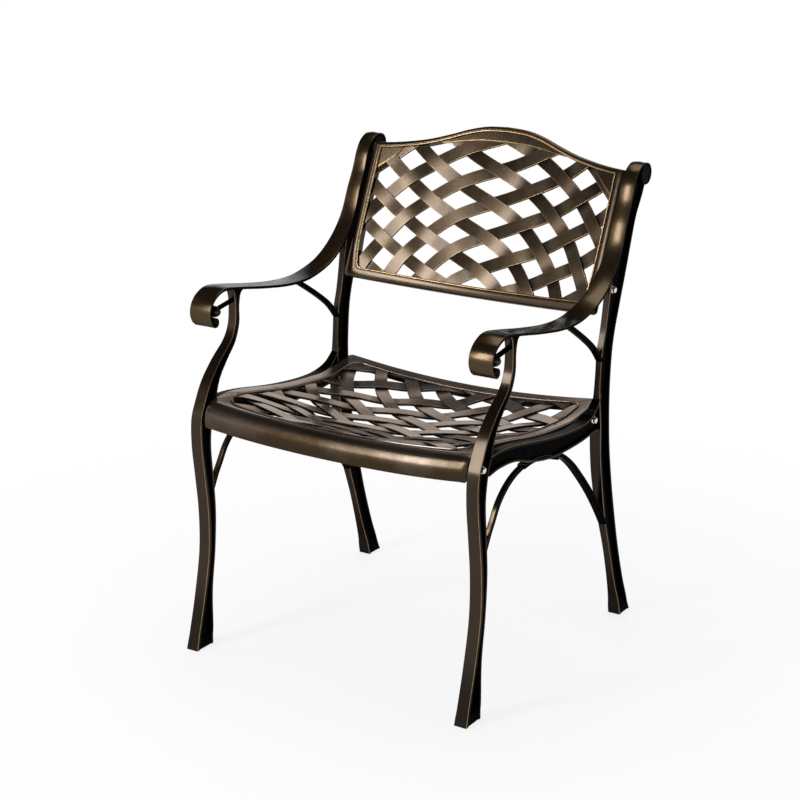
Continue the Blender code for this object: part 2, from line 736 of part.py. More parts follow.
def build():
    for obj in list(bpy.data.objects):
        bpy.data.objects.remove(obj)
    for name, side in (("right", 1), ("left", -1)):
        finished(side_frame("side_frame_" + name, side), ALUMINUM, 0.8, 0.35)
        for place, (y, z, reach) in zip(("seat_front", "seat_rear", "back_low", "back_high"), bolt_places()):
            finished(bolt(f"bolt_{place}_{name}", side, y, z, reach), ZINC, 1.0, 0.25)
    finished(seat(), ALUMINUM, 0.8, 0.35)
    finished(back(), ALUMINUM, 0.8, 0.35)
    centre_on_floor()


build()
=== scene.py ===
"""A cast aluminum patio armchair in antique bronze, dressed over its CAD frame."""

import math

import bmesh
import bpy
import numpy as np
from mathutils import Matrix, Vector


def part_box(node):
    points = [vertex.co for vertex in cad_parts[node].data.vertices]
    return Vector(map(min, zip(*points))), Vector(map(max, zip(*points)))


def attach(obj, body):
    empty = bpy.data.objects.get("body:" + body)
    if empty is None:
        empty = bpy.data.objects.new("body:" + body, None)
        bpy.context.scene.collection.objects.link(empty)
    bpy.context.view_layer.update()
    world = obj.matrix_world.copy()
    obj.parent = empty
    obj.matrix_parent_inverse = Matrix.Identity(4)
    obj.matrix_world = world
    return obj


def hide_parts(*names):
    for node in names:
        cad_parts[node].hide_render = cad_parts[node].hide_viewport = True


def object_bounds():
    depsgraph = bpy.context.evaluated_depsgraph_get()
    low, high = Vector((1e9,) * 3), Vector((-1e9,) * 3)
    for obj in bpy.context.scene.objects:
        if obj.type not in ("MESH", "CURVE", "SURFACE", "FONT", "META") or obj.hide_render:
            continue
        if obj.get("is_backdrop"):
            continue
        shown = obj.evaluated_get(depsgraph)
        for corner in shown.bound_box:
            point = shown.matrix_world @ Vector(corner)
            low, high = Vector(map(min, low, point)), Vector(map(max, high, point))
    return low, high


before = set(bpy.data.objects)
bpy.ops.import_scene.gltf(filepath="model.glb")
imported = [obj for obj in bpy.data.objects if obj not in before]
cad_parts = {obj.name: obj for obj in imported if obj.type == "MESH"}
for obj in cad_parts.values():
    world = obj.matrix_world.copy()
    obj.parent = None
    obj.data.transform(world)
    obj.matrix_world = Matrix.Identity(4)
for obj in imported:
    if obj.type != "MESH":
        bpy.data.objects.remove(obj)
cad_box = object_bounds()


# SIDE CASTINGS
# Each side is one aluminum sand casting: front leg, scrolled arm, back post and rear leg in one
# piece, with flanges along their edges and a web between. Antique bronze powder coat, wiped golden
# on the faces and near black in the hollows, with painted shade darkening the webs, undersides and
# the rail under the seat as well. The seat and the back are bolted between them.
MM = 0.001
FRAME_LOW, FRAME_HIGH = (np.array(corner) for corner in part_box("side_frame_right"))
FRAME_MIDDLE = (FRAME_LOW[0] + FRAME_HIGH[0]) / 2 / MM
FRONT_TOE = -308.0
DRAWN_BACK = FRAME_LOW[1] / MM - FRONT_TOE  # the stations below are drawn this much further forward

WEB = 7.0
FLANGE = 5.0
RAIL_WIDTH = 23.0
RAIL_FOOT = 18.0
STRAP_WIDTH = 46.0
STRAP_THICKNESS = 7.0
STRAP_CROWN = 2.0
EDGE_ROUND = 1.3
FILLED_STEP = 1.4  # what stays of a flange's overhang where the channel is filled in
BALL_HALF_WIDTH = 18.0
# Width, thickness and edge radius of the plain bars.
ARM_BRACE_BAR = (12, 9, 2.2)
STRUT_BAR = (16, 8.5, 2.0)
FRONT_STRUT_BAR = (10, 8.5, 2.0)
STEM_BAR = (10, 6, 2.2)

# One row a station: front y, z, back y, z, front and back flange width, front flange thickness and
# the share of the channel filled in. The leg runs up from the floor, the post runs down to it.
FRONT_LEG = (
    (-308, 0, -260, 0, 25, 25, 8, 1),
    (-303, 18, -259, 18, 24, 24, 8, 1),
    (-299, 32, -256, 34, 23, 22, 8, 0),
    (-280.5, 100, -252, 104, 23, 18, 8, 0),
    (-264, 180, -239, 179, 23, 15, 8, 0),
    (-262, 255, -233.5, 255, 23, 14, 8, 0),
    (-269, 325, -238, 325, 23, 14, 7, 0),
    (-276, 385, -242, 385, 23, 14, 6, 0),
    (-275, 435, -236, 435, 23, 16, 5, 0),
    (-262, 468, -227, 462, 23, 17, 5, 0),
    (-243, 502, -212, 500, 22, 16, 5, 0),
    (-213, 535, -188, 530, 20, 15, 5, 0),
    (-180, 563, -163, 558, 18, 15, 5, 0.4),
    (-165, 590, -150, 590, 17, 15, 5, 1),
    (-162, 622, -149, 622, 16, 15, 5, 1),
    (-164, 645, -143, 645, 16, 15, 5, 1),
    (-172, 660, -128, 652, 16, 15, 5, 1),
)
POST = (
    (268, 846, 318, 842, 20, 18, 5, 0.3),
    (255, 815, 303, 812, 20, 18, 5, 0),
    (239, 780, 282, 778, 20, 18, 5, 0),
    (222, 740, 267, 738, 18, 18, 5, 0),
    (203, 700, 254, 700, 15, 18, 5, 0),
    (193, 660, 242, 666, 13, 18, 5, 0),
    (186, 620, 226, 622, 12, 18, 5, 0),
    (178, 580, 211, 579, 12, 18, 5, 0),
    (168, 545, 203, 543, 12, 18, 5, 0),
    (164, 500, 199, 500, 11, 18, 5, 0),
    (162, 460, 196, 460, 14, 20, 5, 0),
    (161, 410, 198, 410, 22, 20, 5, 0),
    (164, 350, 204, 350, 22, 20, 5, 0),
    (176, 285, 216, 285, 21, 20, 5, 0),
    (196, 217, 234, 217, 16, 18, 5, 0),
    (221, 147, 253, 147, 14, 18, 5, 0),
    (243, 77, 275, 77, 16, 20, 5, 0),
    (256, 36, 290, 36, 21, 23, 6, 0),
    (260, 18, 296, 18, 24, 24, 6, 1),
    (264, 0, 304, 0, 25, 25, 6, 1),
)
# The deep rail beside the seat: y, top z, bottom z and its top flange's width.
SEAT_RAIL = (
    (-235, 466, 430, 23), (-200, 467, 434, 23), (-150, 462, 431, 23), (-100, 453, 416, 23),
    (-50, 444, 404, 23), (0, 437, 398, 23), (50, 432, 397, 23), (95, 431, 398, 23),
    (128, 436, 401, 22), (148, 446, 402, 18), (170, 468, 398, 13),
)
# The flat strap: y, z on its face and its width, from the arm's roll up to the top scroll.
STRAP = (
    (-237, 602, 46), (-249, 607, 46), (-257, 625, 46), (-252, 646, 46), (-235, 662, 46),
    (-206, 670, 46), (-158, 663, 46), (-90, 650, 45), (-19, 639, 44), (37, 636, 42),
    (80, 641, 41), (124, 653, 39), (160, 673, 37), (191, 701, 34), (213, 733, 31),
    (231, 775, 29), (248, 808, 28), (261, 841, 27), (277, 862, 27), (300, 872, 27),
    (321, 866, 27), (330, 849, 27), (322, 831, 27),
)
ARM_BRACE = ((24, 632), (46, 622), (80, 602), (113, 581), (144, 558), (172, 528))
STEM = ((-160, 634), (-180, 631), (-200, 628), (-216, 626))
REAR_STRUT = ((8, 400), (34, 386), (66, 363), (102, 329), (140, 289), (175, 246), (205, 205))
FRONT_STRUT = (
    (-236, 296), (-222, 322), (-210, 340), (-192, 367), (-168, 388), (-140, 402.5), (-105, 411.5),
)
ARCH_CROWN = ((-112, 410.5), (-90, 412.5), (-66, 411.5), (-30, 405), (10, 392))
ARM_ROLL = (-237, 611, 9.0)  # y, z, radius
ARM_BALL = (-220, 626, 11.0)
TOP_SCROLL = (309, 850, 20.0)

# How light each face is painted, from 0, dark, to 1: partly the wiping of the finish, partly painted shade
# on webs, undersides, side walls and backs.
LEG_WIPED_AND_LIT = 0.6
POST_WIPED_AND_LIT = 0.35
# The rail under the seat is painted near black: painted shade over the dark of its hollow.
RAIL_WIPED_AND_LIT = 0.06
BALL_WIPED_AND_LIT = 0.7
ROLL_WIPED_AND_LIT = 0.1
FOOT_SHARE_AT_FLOOR = 0.4  # share left at the floor
FOOT_DARK_TO = 70.0  # height
FOOT_FADE = 60.0
# Shares of the gold on the edges and of the face tone, from wiping and painted light, that a bar keeps.
STRUT_TONE = (0.97, 0.85)
STEM_TONE = (0.5, 0.4)
# The bronze from its hollows and painted shade to its rubbed edges, and the clear coat over its faces.
HOLLOW_AND_SHADE_BRONZE = (0.004, 0.0034, 0.003, 1)
FACE_BRONZE = (0.027, 0.0185, 0.013, 1)
WIPED_BRONZE = (0.066, 0.043, 0.0215, 1)
RUBBED_GOLD = (0.52, 0.34, 0.155, 1)
FACE_REACHED = 0.45  # mask value at which the black of hollows and painted shade gives way to the face's tone
LACQUER = 0.22


def curve(stations, steps):
    """Rows on a smooth curve through the stations, with the same number of steps in each span."""
    rows = np.array(stations, float)
    ends = np.vstack([2 * rows[0] - rows[1], rows, 2 * rows[-1] - rows[-2]])
    found = []
    for a, b, c, d in zip(ends, ends[1:], ends[2:], ends[3:]):
        for t in np.arange(steps) / steps:
            bend = (2 * a - 5 * b + 4 * c - d) * t**2 + (3 * b - a - 3 * c + d) * t**3
            found.append(0.5 * (2 * b + (c - a) * t + bend))
    return np.array(found + [rows[-1]])


def across_curve(points):
    """Unit vectors square to a curve in the side view, to the left of its direction."""
    along = np.gradient(points[:, :2], axis=0)
    along /= np.linalg.norm(along, axis=1)[:, None]
    return np.stack([-along[:, 1], along[:, 0]], axis=1)


def taken(bm):
    """The shell (points, faces, marks) of a bmesh, which is freed."""
    rub = bm.verts.layers.float.get("rub")
    wiped_and_lit = bm.verts.layers.float.get("wiped_and_lit")
    bm.verts.index_update()
    points = np.array([v.co[:] for v in bm.verts])
    faces = [[v.index for v in f.verts] for f in bm.faces]
    marks = [(v[rub], v[wiped_and_lit]) for v in bm.verts]
    bm.free()
    return points, faces, marks


def loft(rings, marks, closed=False, rounding=0.8, corner=28):
    """A shell through rings of points with its corners rounded.

    marks gives, for each point of a ring, how far it is out to an edge that gets rubbed (-1 to 1)
    and how light its face is painted (0 to 1), from the wiping and from painted shade.
    """
    bm = bmesh.new()
    rub = bm.verts.layers.float.new("rub")
    wiped_and_lit = bm.verts.layers.float.new("wiped_and_lit")
    rows = []
    for ring in rings:
        row = []
        for point, (edge, clean_and_lit) in zip(ring, marks):
            v = bm.verts.new(point)
            v[rub], v[wiped_and_lit] = edge, clean_and_lit
            row.append(v)
        rows.append(row)
    pairs = list(zip(rows, rows[1:]))
    if closed:
        pairs.append((rows[-1], rows[0]))
    for one, two in pairs:
        for k in range(len(one)):
            n = (k + 1) % len(one)
            bm.faces.new((one[k], one[n], two[n], two[k]))
    if not closed:
        bm.faces.new(rows[0])
        bm.faces.new(rows[-1])
    bmesh.ops.recalc_face_normals(bm, faces=bm.faces)
    for outer, radius in ((True, rounding), (False, 0.6 * rounding)):
        sharp = [
            e for e in bm.edges
            if e.is_convex == outer and e.calc_face_angle(0) > math.radians(corner)
        ]
        if radius and sharp:
            bmesh.ops.bevel(
                bm, geom=sharp, offset=radius, offset_type="OFFSET", segments=2, profile=0.5,
                affect="EDGES", clamp_overlap=False, loop_slide=True,
            )
    return taken(bm)


def channel(stations, steps, face_clean_and_lit):
    """A cast member with a front flange, a back flange and a web between them."""
    rings = []
    for fy, fz, by, bz, front, back, thick, filled in curve(stations, steps):
        filled = min(max(filled, 0), 1)
        f, b = front / 2, back / 2
        web_f = WEB / 2 + filled * (f - WEB / 2 - FILLED_STEP)
        web_b = WEB / 2 + filled * (b - WEB / 2 - FILLED_STEP)
        depth = math.hypot(by - fy, bz - fz)
        uy, uz = (by - fy) / depth, (bz - fz) / depth
        fi = (fy + uy * thick, fz + uz * thick)
        bi = (by - uy * FLANGE, bz - uz * FLANGE)
        half = [(f, fy, fz), (f, *fi), (web_f, *fi), (web_b, *bi), (b, *bi), (b, by, bz)]
        rings.append(half + [(-x, y, z) for x, y, z in reversed(half)])
    # The front face takes the face tone; the flange insides, the web and the back flange get painted shade
    # over the dark of the hollows.
    half = [(1, face_clean_and_lit), (0.8, 0.3), (0, 0), (0, 0), (0.85, 0.15), (1, 0.5)]
    return loft(rings, half + [(-edge, clean_and_lit) for edge, clean_and_lit in reversed(half)])


def seat_rail():
    """The deep rail beside the seat, a channel on its side."""
    rows = []
    for y, top, bottom, width in SEAT_RAIL:
        rows.append((y, top, y, bottom, width, RAIL_FOOT, FLANGE, 0))
    return channel(rows, 3, RAIL_WIPED_AND_LIT)


def disc(centre, half_width, dished):
    """A round bar along X. A dished one has a shallow rim round each end."""
    y, z, radius = centre
    profile = [(half_width, radius)]
    if dished:
        profile += [(half_width, radius - 1.5), (half_width - 0.6, radius - 2.5)]
    profile.append((profile[-1][0], 0.05))
    profile += [(-x, r) for x, r in reversed(profile)]
    rings = []
    for k in range(48):
        a = 2 * math.pi * k / 48
        rings.append([(x, y + r * math.cos(a), z + r * math.sin(a)) for x, r in profile])
    return loft(rings, [(0, ROLL_WIPED_AND_LIT)] * len(profile), closed=True)


def ball(centre, half_width):
    """The ball in the arm's scroll, stretched along X."""
    y, z, radius = centre
    bm = bmesh.new()
    bm.verts.layers.float.new("rub")
    wiped_and_lit = bm.verts.layers.float.new("wiped_and_lit")
    bmesh.ops.create_icosphere(bm, subdivisions=4, radius=radius)
    for v in bm.verts:
        v.co = (v.co.x * half_width / radius, v.co.y + y, v.co.z + z)
        v[wiped_and_lit] = BALL_WIPED_AND_LIT
    return taken(bm)


def placed(name, data):
    """A new object of this data in the scene."""
    obj = bpy.data.objects.new(name, data)
    bpy.context.scene.collection.objects.link(obj)
    return obj


def fill(tree, node, inputs):
    """Sets a node's inputs, by label or number. A socket is linked, anything else is a value."""
    for label, value in inputs.items():
        if isinstance(value, bpy.types.NodeSocket):
            tree.links.new(value, node.inputs[label])
        else:
            node.inputs[label].default_value = value


def add(tree, kind, inputs, **settings):
    """The outputs of a new node with these settings and inputs."""
    node = tree.nodes.new(kind)
    for label, value in settings.items():
        setattr(node, label, value)
    fill(tree, node, inputs)
    return node.outputs


def maths(tree, operation, *values):
    """The result of a Math node on these sockets or numbers."""
    return add(tree, "ShaderNodeMath", dict(enumerate(values)), operation=operation)[0]


def ranged(tree, value, low, high, new_low=0.0, new_high=1.0, way="LINEAR"):
    """The result of a Map Range node that takes low to high over to new_low to new_high."""
    ends = {"From Min": low, "From Max": high, "To Min": new_low, "To Max": new_high}
    ends["Value"] = value
    return add(tree, "ShaderNodeMapRange", ends, interpolation_type=way)["Result"]


def mixed(tree, share, a, b):
    """A blend of two colours, a at share 0 and b at 1."""
    return add(tree, "ShaderNodeMix", {"Factor": share, 6: a, 7: b}, data_type="RGBA")[2]


def shape_tree(name, sizes):
    """A Geometry Nodes tree whose inputs are a mesh, these sizes in millimetres and a finish."""
    tree = bpy.data.node_groups.new(name, "GeometryNodeTree")
    ends = tree.interface
    ends.new_socket("Geometry", in_out="INPUT", socket_type="NodeSocketGeometry")
    for label, value in sizes:
        socket = ends.new_socket(label, in_out="INPUT", socket_type="NodeSocketFloat")
        socket.default_value = value * MM
    ends.new_socket("Finish", in_out="INPUT", socket_type="NodeSocketMaterial")
    ends.new_socket("Geometry", in_out="OUTPUT", socket_type="NodeSocketGeometry")
    return tree


def named(tree, name, kind="FLOAT"):
    """The value of a named attribute in a shape tree."""
    return add(tree, "GeometryNodeInputNamedAttribute", {"Name": name}, data_type=kind)["Attribute"]


def finished(tree, geometry, material):
    """Ends a shape tree: instances are made real and take the finish."""
    real = add(tree, "GeometryNodeRealizeInstances", {"Geometry": geometry})["Geometry"]
    finish = {"Geometry": real, "Material": material}
    add(tree, "NodeGroupOutput", {"Geometry": add(tree, "GeometryNodeSetMaterial", finish)[0]})
    return tree


def swept_bar_tree():
    """Sweeps a rounded flat section along paths whose points carry wide and up vectors."""
    sizes = (("Width", 25.0), ("Thickness", 5.0), ("Edge Radius", 1.0), ("Crown", 0.0))
    tree = shape_tree("Swept flat bar", sizes)
    given = tree.nodes.new("NodeGroupInput").outputs

    def stored(geometry, name, value, kind="FLOAT"):
        store = {"Geometry": geometry, "Name": name, "Value": value}
        node = "GeometryNodeStoreNamedAttribute"
        return add(tree, node, store, data_type=kind, domain="POINT")["Geometry"]

    def moved(start, way, share):
        move = {0: named(tree, way, "FLOAT_VECTOR"), 1: named(tree, share), 2: start}
        return add(tree, "ShaderNodeVectorMath", move, operation="MULTIPLY_ADD")[0]

    flat = {"Width": given["Width"], "Height": given["Thickness"]}
    section = add(tree, "GeometryNodeCurvePrimitiveQuadrilateral", flat)["Curve"]
    fillet = {"Curve": section, "Radius": given["Edge Radius"], "Count": 3, "Limit Radius": True}
    section = add(tree, "GeometryNodeFilletCurve", fillet, mode="POLY")["Curve"]
    section = add(tree, "GeometryNodeSubdivideCurve", {"Curve": section, "Cuts": 1})["Curve"]
    place = add(tree, "GeometryNodeInputPosition", {})[0]
    x, y, _ = add(tree, "ShaderNodeSeparateXYZ", {0: place})
    share = maths(tree, "DIVIDE", maths(tree, "MULTIPLY", x, 2.0), given["Width"])
    fall = maths(tree, "MULTIPLY", given["Crown"], maths(tree, "MULTIPLY", share, share))
    fall = maths(tree, "MULTIPLY", fall, maths(tree, "GREATER_THAN", y, 0.0))
    height = maths(tree, "DIVIDE", maths(tree, "MULTIPLY", y, 2.0), given["Thickness"])
    near_top = ranged(tree, height, 0.55, 0.95)
    section = stored(section, "section_x", share)
    section = stored(section, "section_y", maths(tree, "SUBTRACT", y, fall))
    section = stored(section, "section_top", near_top)
    section = stored(section, "section_rub", maths(tree, "MULTIPLY", share, near_top))

    path = add(tree, "GeometryNodeMeshToCurve", {"Mesh": given["Geometry"]})["Curve"]
    path = stored(path, "middle", place, "FLOAT_VECTOR")
    sweep = {"Curve": path, "Profile Curve": section, "Fill Caps": True}
    bar = add(tree, "GeometryNodeCurveToMesh", sweep)["Mesh"]
    place = moved(named(tree, "middle", "FLOAT_VECTOR"), "wide", "section_x")
    shape = {"Geometry": bar, "Position": moved(place, "up", "section_y")}
    bar = add(tree, "GeometryNodeSetPosition", shape)["Geometry"]
    bar = stored(bar, "rub", named(tree, "section_rub"))
    # Only the top face takes the face tone: the sides and underside get painted shade, and so do strips
    # where they dip under a crossing.
    lit_top_share = maths(tree, "MULTIPLY", named(tree, "section_top"), named(tree, "open"))
    return finished(tree, stored(bar, "wiped_and_lit", lit_top_share), given["Finish"])


swept_bar = swept_bar_tree()


def made_by(tree, obj, **values):
    """Gives obj a Geometry Nodes modifier whose inputs have these values, by their names."""
    modifier = obj.modifiers.new(tree.name, "NODES")
    modifier.node_group = tree
    for item in tree.interface.items_tree:
        if item.in_out == "INPUT" and item.name in values:
            modifier[item.identifier] = values[item.name]


def evaluated_mesh(obj):
    """The mesh of an object with its modifiers. The object is removed."""
    graph = bpy.context.evaluated_depsgraph_get()
    mesh = bpy.data.meshes.new_from_object(obj.evaluated_get(graph))
    bpy.data.objects.remove(obj)
    return mesh


def evaluated_shell(obj):
    """The shell (points, faces, marks) of an object with its modifiers. The object is removed."""
    mesh = evaluated_mesh(obj)
    points = np.array([v.co[:] for v in mesh.vertices]) / MM
    faces = [list(f.vertices) for f in mesh.polygons]
    rub, wiped_and_lit = mesh.attributes["rub"].data, mesh.attributes["wiped_and_lit"].data
    return points, faces, [(a.value, b.value) for a, b in zip(rub, wiped_and_lit)]


def path_object(name, paths):
    """A mesh of open paths, each a list of (middle, wide, up).

    Middle and wide, half the bar's width, are in millimetres and up is a unit vector. A fourth
    value, where there is one, is the share of the face tone kept at that point: lower where a strip
    dips under a crossing, as painted shade.
    """
    mesh = bpy.data.meshes.new(name)
    points, edges, wides, ups, crossing_lights = [], [], [], [], []
    for path in paths:
        first = len(points)
        for middle, wide, up, *crossing_light in path:
            points.append(np.array(middle) * MM)
            wides.append(np.array(wide) * MM)
            ups.append(up)
            crossing_lights.append(crossing_light[0] if crossing_light else 1.0)
        edges += [(k, k + 1) for k in range(first, len(points) - 1)]
    mesh.from_pydata(points, edges, [])
    for label, rows in (("wide", wides), ("up", ups)):
        vectors = mesh.attributes.new(label, "FLOAT_VECTOR", "POINT")
        vectors.data.foreach_set("vector", np.ravel(rows))
    mesh.attributes.new("open", "FLOAT", "POINT").data.foreach_set("value", crossing_lights)
    return placed(name, mesh)


def side_path(stations, steps, width=None, sink=0.0):
    """A path in the side view, its section square to it and sunk below the drawn line.

    Without a width, each station's third number is its own.
    """
    rows = curve(stations, steps)
    path = []
    for k, ((y, z), (ny, nz)) in enumerate(zip(rows[:, :2], across_curve(rows))):
        half = rows[k, 2] / 2 if width is None else width / 2
        path.append(((0, y - ny * sink, z - nz * sink), (half, 0, 0), (0, ny, nz)))
    return path


def bar_shell(name, path, width, thickness, edge, crown=0.0):
    """One flat bar swept along a path, its upper face lowered by the crown at the edges."""
    obj = path_object(name, [path])
    sizes = {"Width": width, "Thickness": thickness, "Edge Radius": edge, "Crown": crown}
    made_by(swept_bar, obj, **{label: size * MM for label, size in sizes.items()})
    return evaluated_shell(obj)


def toned(shell, rubbed, wiped_and_lit):
    """A shell whose edges are rubbed less and whose faces are darker, by these shares, with less wiping and
    more painted shade.
    """
    points, faces, marks = shell
    return points, faces, [(edge * rubbed, clean_and_lit * wiped_and_lit) for edge, clean_and_lit in marks]


def dark_footed(shell):
    """A leg painted darker towards the floor, which also dims the highlight on its foot."""
    points, faces, marks = shell
    climb = np.clip((points[:, 2] - FOOT_DARK_TO) / FOOT_FADE, 0, 1)
    keep = FOOT_SHARE_AT_FLOOR + (1 - FOOT_SHARE_AT_FLOOR) * climb
    return points, faces, [(edge, clean_and_lit * k) for (edge, clean_and_lit), k in zip(marks, keep)]


def plain_bar(name, stations, steps, size, tone):
    """A brace, strut or stem: a bar of one width along its stations."""
    return toned(bar_shell(name, side_path(stations, steps, size[0]), *size), *tone)


def casting(name, shells, side=0):
    """One object from shells in millimetres. With a side, 1 or -1, it moves out to that side.

    Larger faces weigh more in its normals, so flat faces stay flat beside their rounded corners.
    """
    points, faces, marks = [], [], []
    for shell_points, shell_faces, shell_marks in shells:
        first = len(points)
        points += list(shell_points)
        faces += [[first + k for k in face] for face in shell_faces]
        marks += shell_marks
    points = np.array(points)
    if side:
        points[:, 0] = side * (points[:, 0] + FRAME_MIDDLE)
    points[:, 1] += DRAWN_BACK
    points[:, 2] = np.maximum(points[:, 2], 0)
    mesh = bpy.data.meshes.new(name)
    mesh.from_pydata(points * MM, [], faces)
    rub, wiped_and_lit = np.array(marks).T
    for label, values in (("rub", rub), ("wiped_and_lit", wiped_and_lit)):
        mesh.attributes.new(label, "FLOAT", "POINT").data.foreach_set("value", values)
    bm = bmesh.new()
    bm.from_mesh(mesh)
    bmesh.ops.recalc_face_normals(bm, faces=bm.faces)
    bm.to_mesh(mesh)
    bm.free()
    mesh.shade_smooth()
    heavy = np.zeros((len(mesh.vertices), 3))
    for face in mesh.polygons:
        heavy[list(face.vertices)] += np.array(face.normal) * face.area
    heavy /= np.maximum(np.linalg.norm(heavy, axis=1), 1e-12)[:, None]
    mesh.normals_split_custom_set_from_vertices(heavy.tolist())
    return placed(name, mesh)


def bronze_group():
    """Antique bronze: near black in the hollows and in painted shade, brown on the faces the wiping and the
    light reach, rubbed golden along edges.
    """
    group = bpy.data.node_groups.new("Antique bronze", "ShaderNodeTree")
    ends = group.interface
    for label, kind, value in (
        ("Hollow and Shade", "Color", HOLLOW_AND_SHADE_BRONZE), ("Face", "Color", FACE_BRONZE),
        ("Wiped", "Color", WIPED_BRONZE), ("Rubbed", "Color", RUBBED_GOLD),
        ("Edge Start", "Float", 0.93), ("Edge Strength", "Float", 0.8),
        ("Roughness", "Float", 0.3), ("Grain", "Float", 0.1), ("Ripple", "Float", 0.12),
    ):
        socket = ends.new_socket(label, in_out="INPUT", socket_type="NodeSocket" + kind)
        socket.default_value = value
    results = (("Color", "Color"), ("Roughness", "Float"), ("Coat", "Float"), ("Normal", "Vector"))
    for label, kind in results:
        ends.new_socket(label, in_out="OUTPUT", socket_type="NodeSocket" + kind)
    given = group.nodes.new("NodeGroupInput").outputs
    where = add(group, "ShaderNodeTexCoord", {})["Object"]

    def attribute(name):
        return add(group, "ShaderNodeAttribute", {}, attribute_name=name)["Fac"]

    def noise(scale, detail):
        grid = {"Vector": where, "Scale": scale, "Detail": detail}
        return add(group, "ShaderNodeTexNoise", grid)["Fac"]

    clouds = noise(9.0, 4.0)
    scuffs = noise(70.0, 5.0)

    # Gold where the edge attribute nears 1, broken up by the scuffs.
    line = maths(group, "ABSOLUTE", attribute("rub"))
    line = ranged(group, line, given["Edge Start"], 0.995, way="SMOOTHSTEP")
    worn = maths(group, "MULTIPLY", line, given["Edge Strength"])
    worn = maths(group, "MULTIPLY", worn, maths(group, "MULTIPLY_ADD", scuffs, 1.1, 0.35))
    worn = maths(group, "MINIMUM", worn, 1.0)

    # From the black of the hollows and the painted shade to the face's tone in the lower part of the mask,
    # then to brown.
    clean_and_lit = maths(group, "MULTIPLY_ADD", clouds, 0.5, 0.75)
    clean_and_lit = maths(group, "MULTIPLY", attribute("wiped_and_lit"), clean_and_lit)
    scuffed = maths(group, "MULTIPLY_ADD", scuffs, 0.1, -0.05)
    clean_and_lit = maths(group, "ADD", clean_and_lit, scuffed)
    faced = ranged(group, clean_and_lit, 0.0, FACE_REACHED)
    body = mixed(group, faced, given["Hollow and Shade"], given["Face"])
    body = mixed(group, ranged(group, clean_and_lit, FACE_REACHED, 1.0), body, given["Wiped"])
    clouded = maths(group, "MULTIPLY_ADD", clouds, 0.12, -0.06)
    rough = maths(group, "ADD", given["Roughness"], clouded)

    ripple = {"Distance": 0.001, "Strength": given["Ripple"], "Height": noise(45.0, 1.0)}
    grain = {"Distance": 0.0002, "Strength": given["Grain"], "Height": noise(900.0, 2.0)}
    grain["Normal"] = add(group, "ShaderNodeBump", ripple)["Normal"]
    add(group, "NodeGroupOutput", {
        "Color": mixed(group, worn, body, given["Rubbed"]),
        "Roughness": maths(group, "ADD", rough, scuffed),
        "Coat": maths(group, "MULTIPLY", faced, LACQUER),
        "Normal": add(group, "ShaderNodeBump", grain)["Normal"],
    })
    return group


antique_bronze = bronze_group()


def principled(name):
    """A new material, its node tree and its Principled shader."""
    material = bpy.data.materials.new(name)
    material.use_nodes = True
    return material, material.node_tree, material.node_tree.nodes["Principled BSDF"]


def bronze(name, glance, values):
    """A casting's finish, with values for the group's inputs.

    Glance is how much its faces shine when seen at a low angle.
    """
    material, tree, shader = principled(name)
    effect = tree.nodes.new("ShaderNodeGroup")
    effect.node_tree = antique_bronze
    fill(tree, effect, values)
    fill(tree, shader, {
        "Metallic": 0.95,
        "Specular IOR Level": 0.3,
        "Specular Tint": (glance, glance * 0.92, glance * 0.84, 1),
        "Coat Roughness": 0.14,
        "Base Color": effect.outputs["Color"],
        "Roughness": effect.outputs["Roughness"],
        "Coat Weight": effect.outputs["Coat"],
        "Normal": effect.outputs["Normal"],
    })
    return material


frame_bronze = bronze(
    "Side casting bronze", 0.2, {"Edge Start": 0.955, "Edge Strength": 0.85, "Roughness": 0.25},
)


def side_casting(name, side):
    """One side frame, at +X for side 1 and mirrored at -X for side -1."""
    strap_path = side_path(STRAP, 8, sink=STRAP_THICKNESS / 2)
    shells = [
        bar_shell("strap", strap_path, STRAP_WIDTH, STRAP_THICKNESS, EDGE_ROUND, STRAP_CROWN),
        dark_footed(channel(FRONT_LEG, 4, LEG_WIPED_AND_LIT)),
        dark_footed(channel(POST, 4, POST_WIPED_AND_LIT)),
        seat_rail(),
        plain_bar("arm brace", ARM_BRACE, 6, ARM_BRACE_BAR, STRUT_TONE),
        plain_bar("rear strut", REAR_STRUT, 6, STRUT_BAR, STRUT_TONE),
        plain_bar("front strut", FRONT_STRUT, 6, FRONT_STRUT_BAR, STRUT_TONE),
        plain_bar("arch crown", ARCH_CROWN, 6, STRUT_BAR, STRUT_TONE),
        plain_bar("stem", STEM, 4, STEM_BAR, STEM_TONE),
        disc(ARM_ROLL, STRAP[0][2] / 2 - 0.5, False),
        ball(ARM_BALL, BALL_HALF_WIDTH),
        disc(TOP_SCROLL, STRAP[-1][2] / 2, True),
    ]
    obj = casting(name, shells, side)
    obj.data.materials.append(frame_bronze)
    return obj


for side_name, side in (("right", 1), ("left", -1)):
    piece = side_casting("side_casting_" + side_name, side)
    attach(piece, "root")
    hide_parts("side_frame_" + side_name)


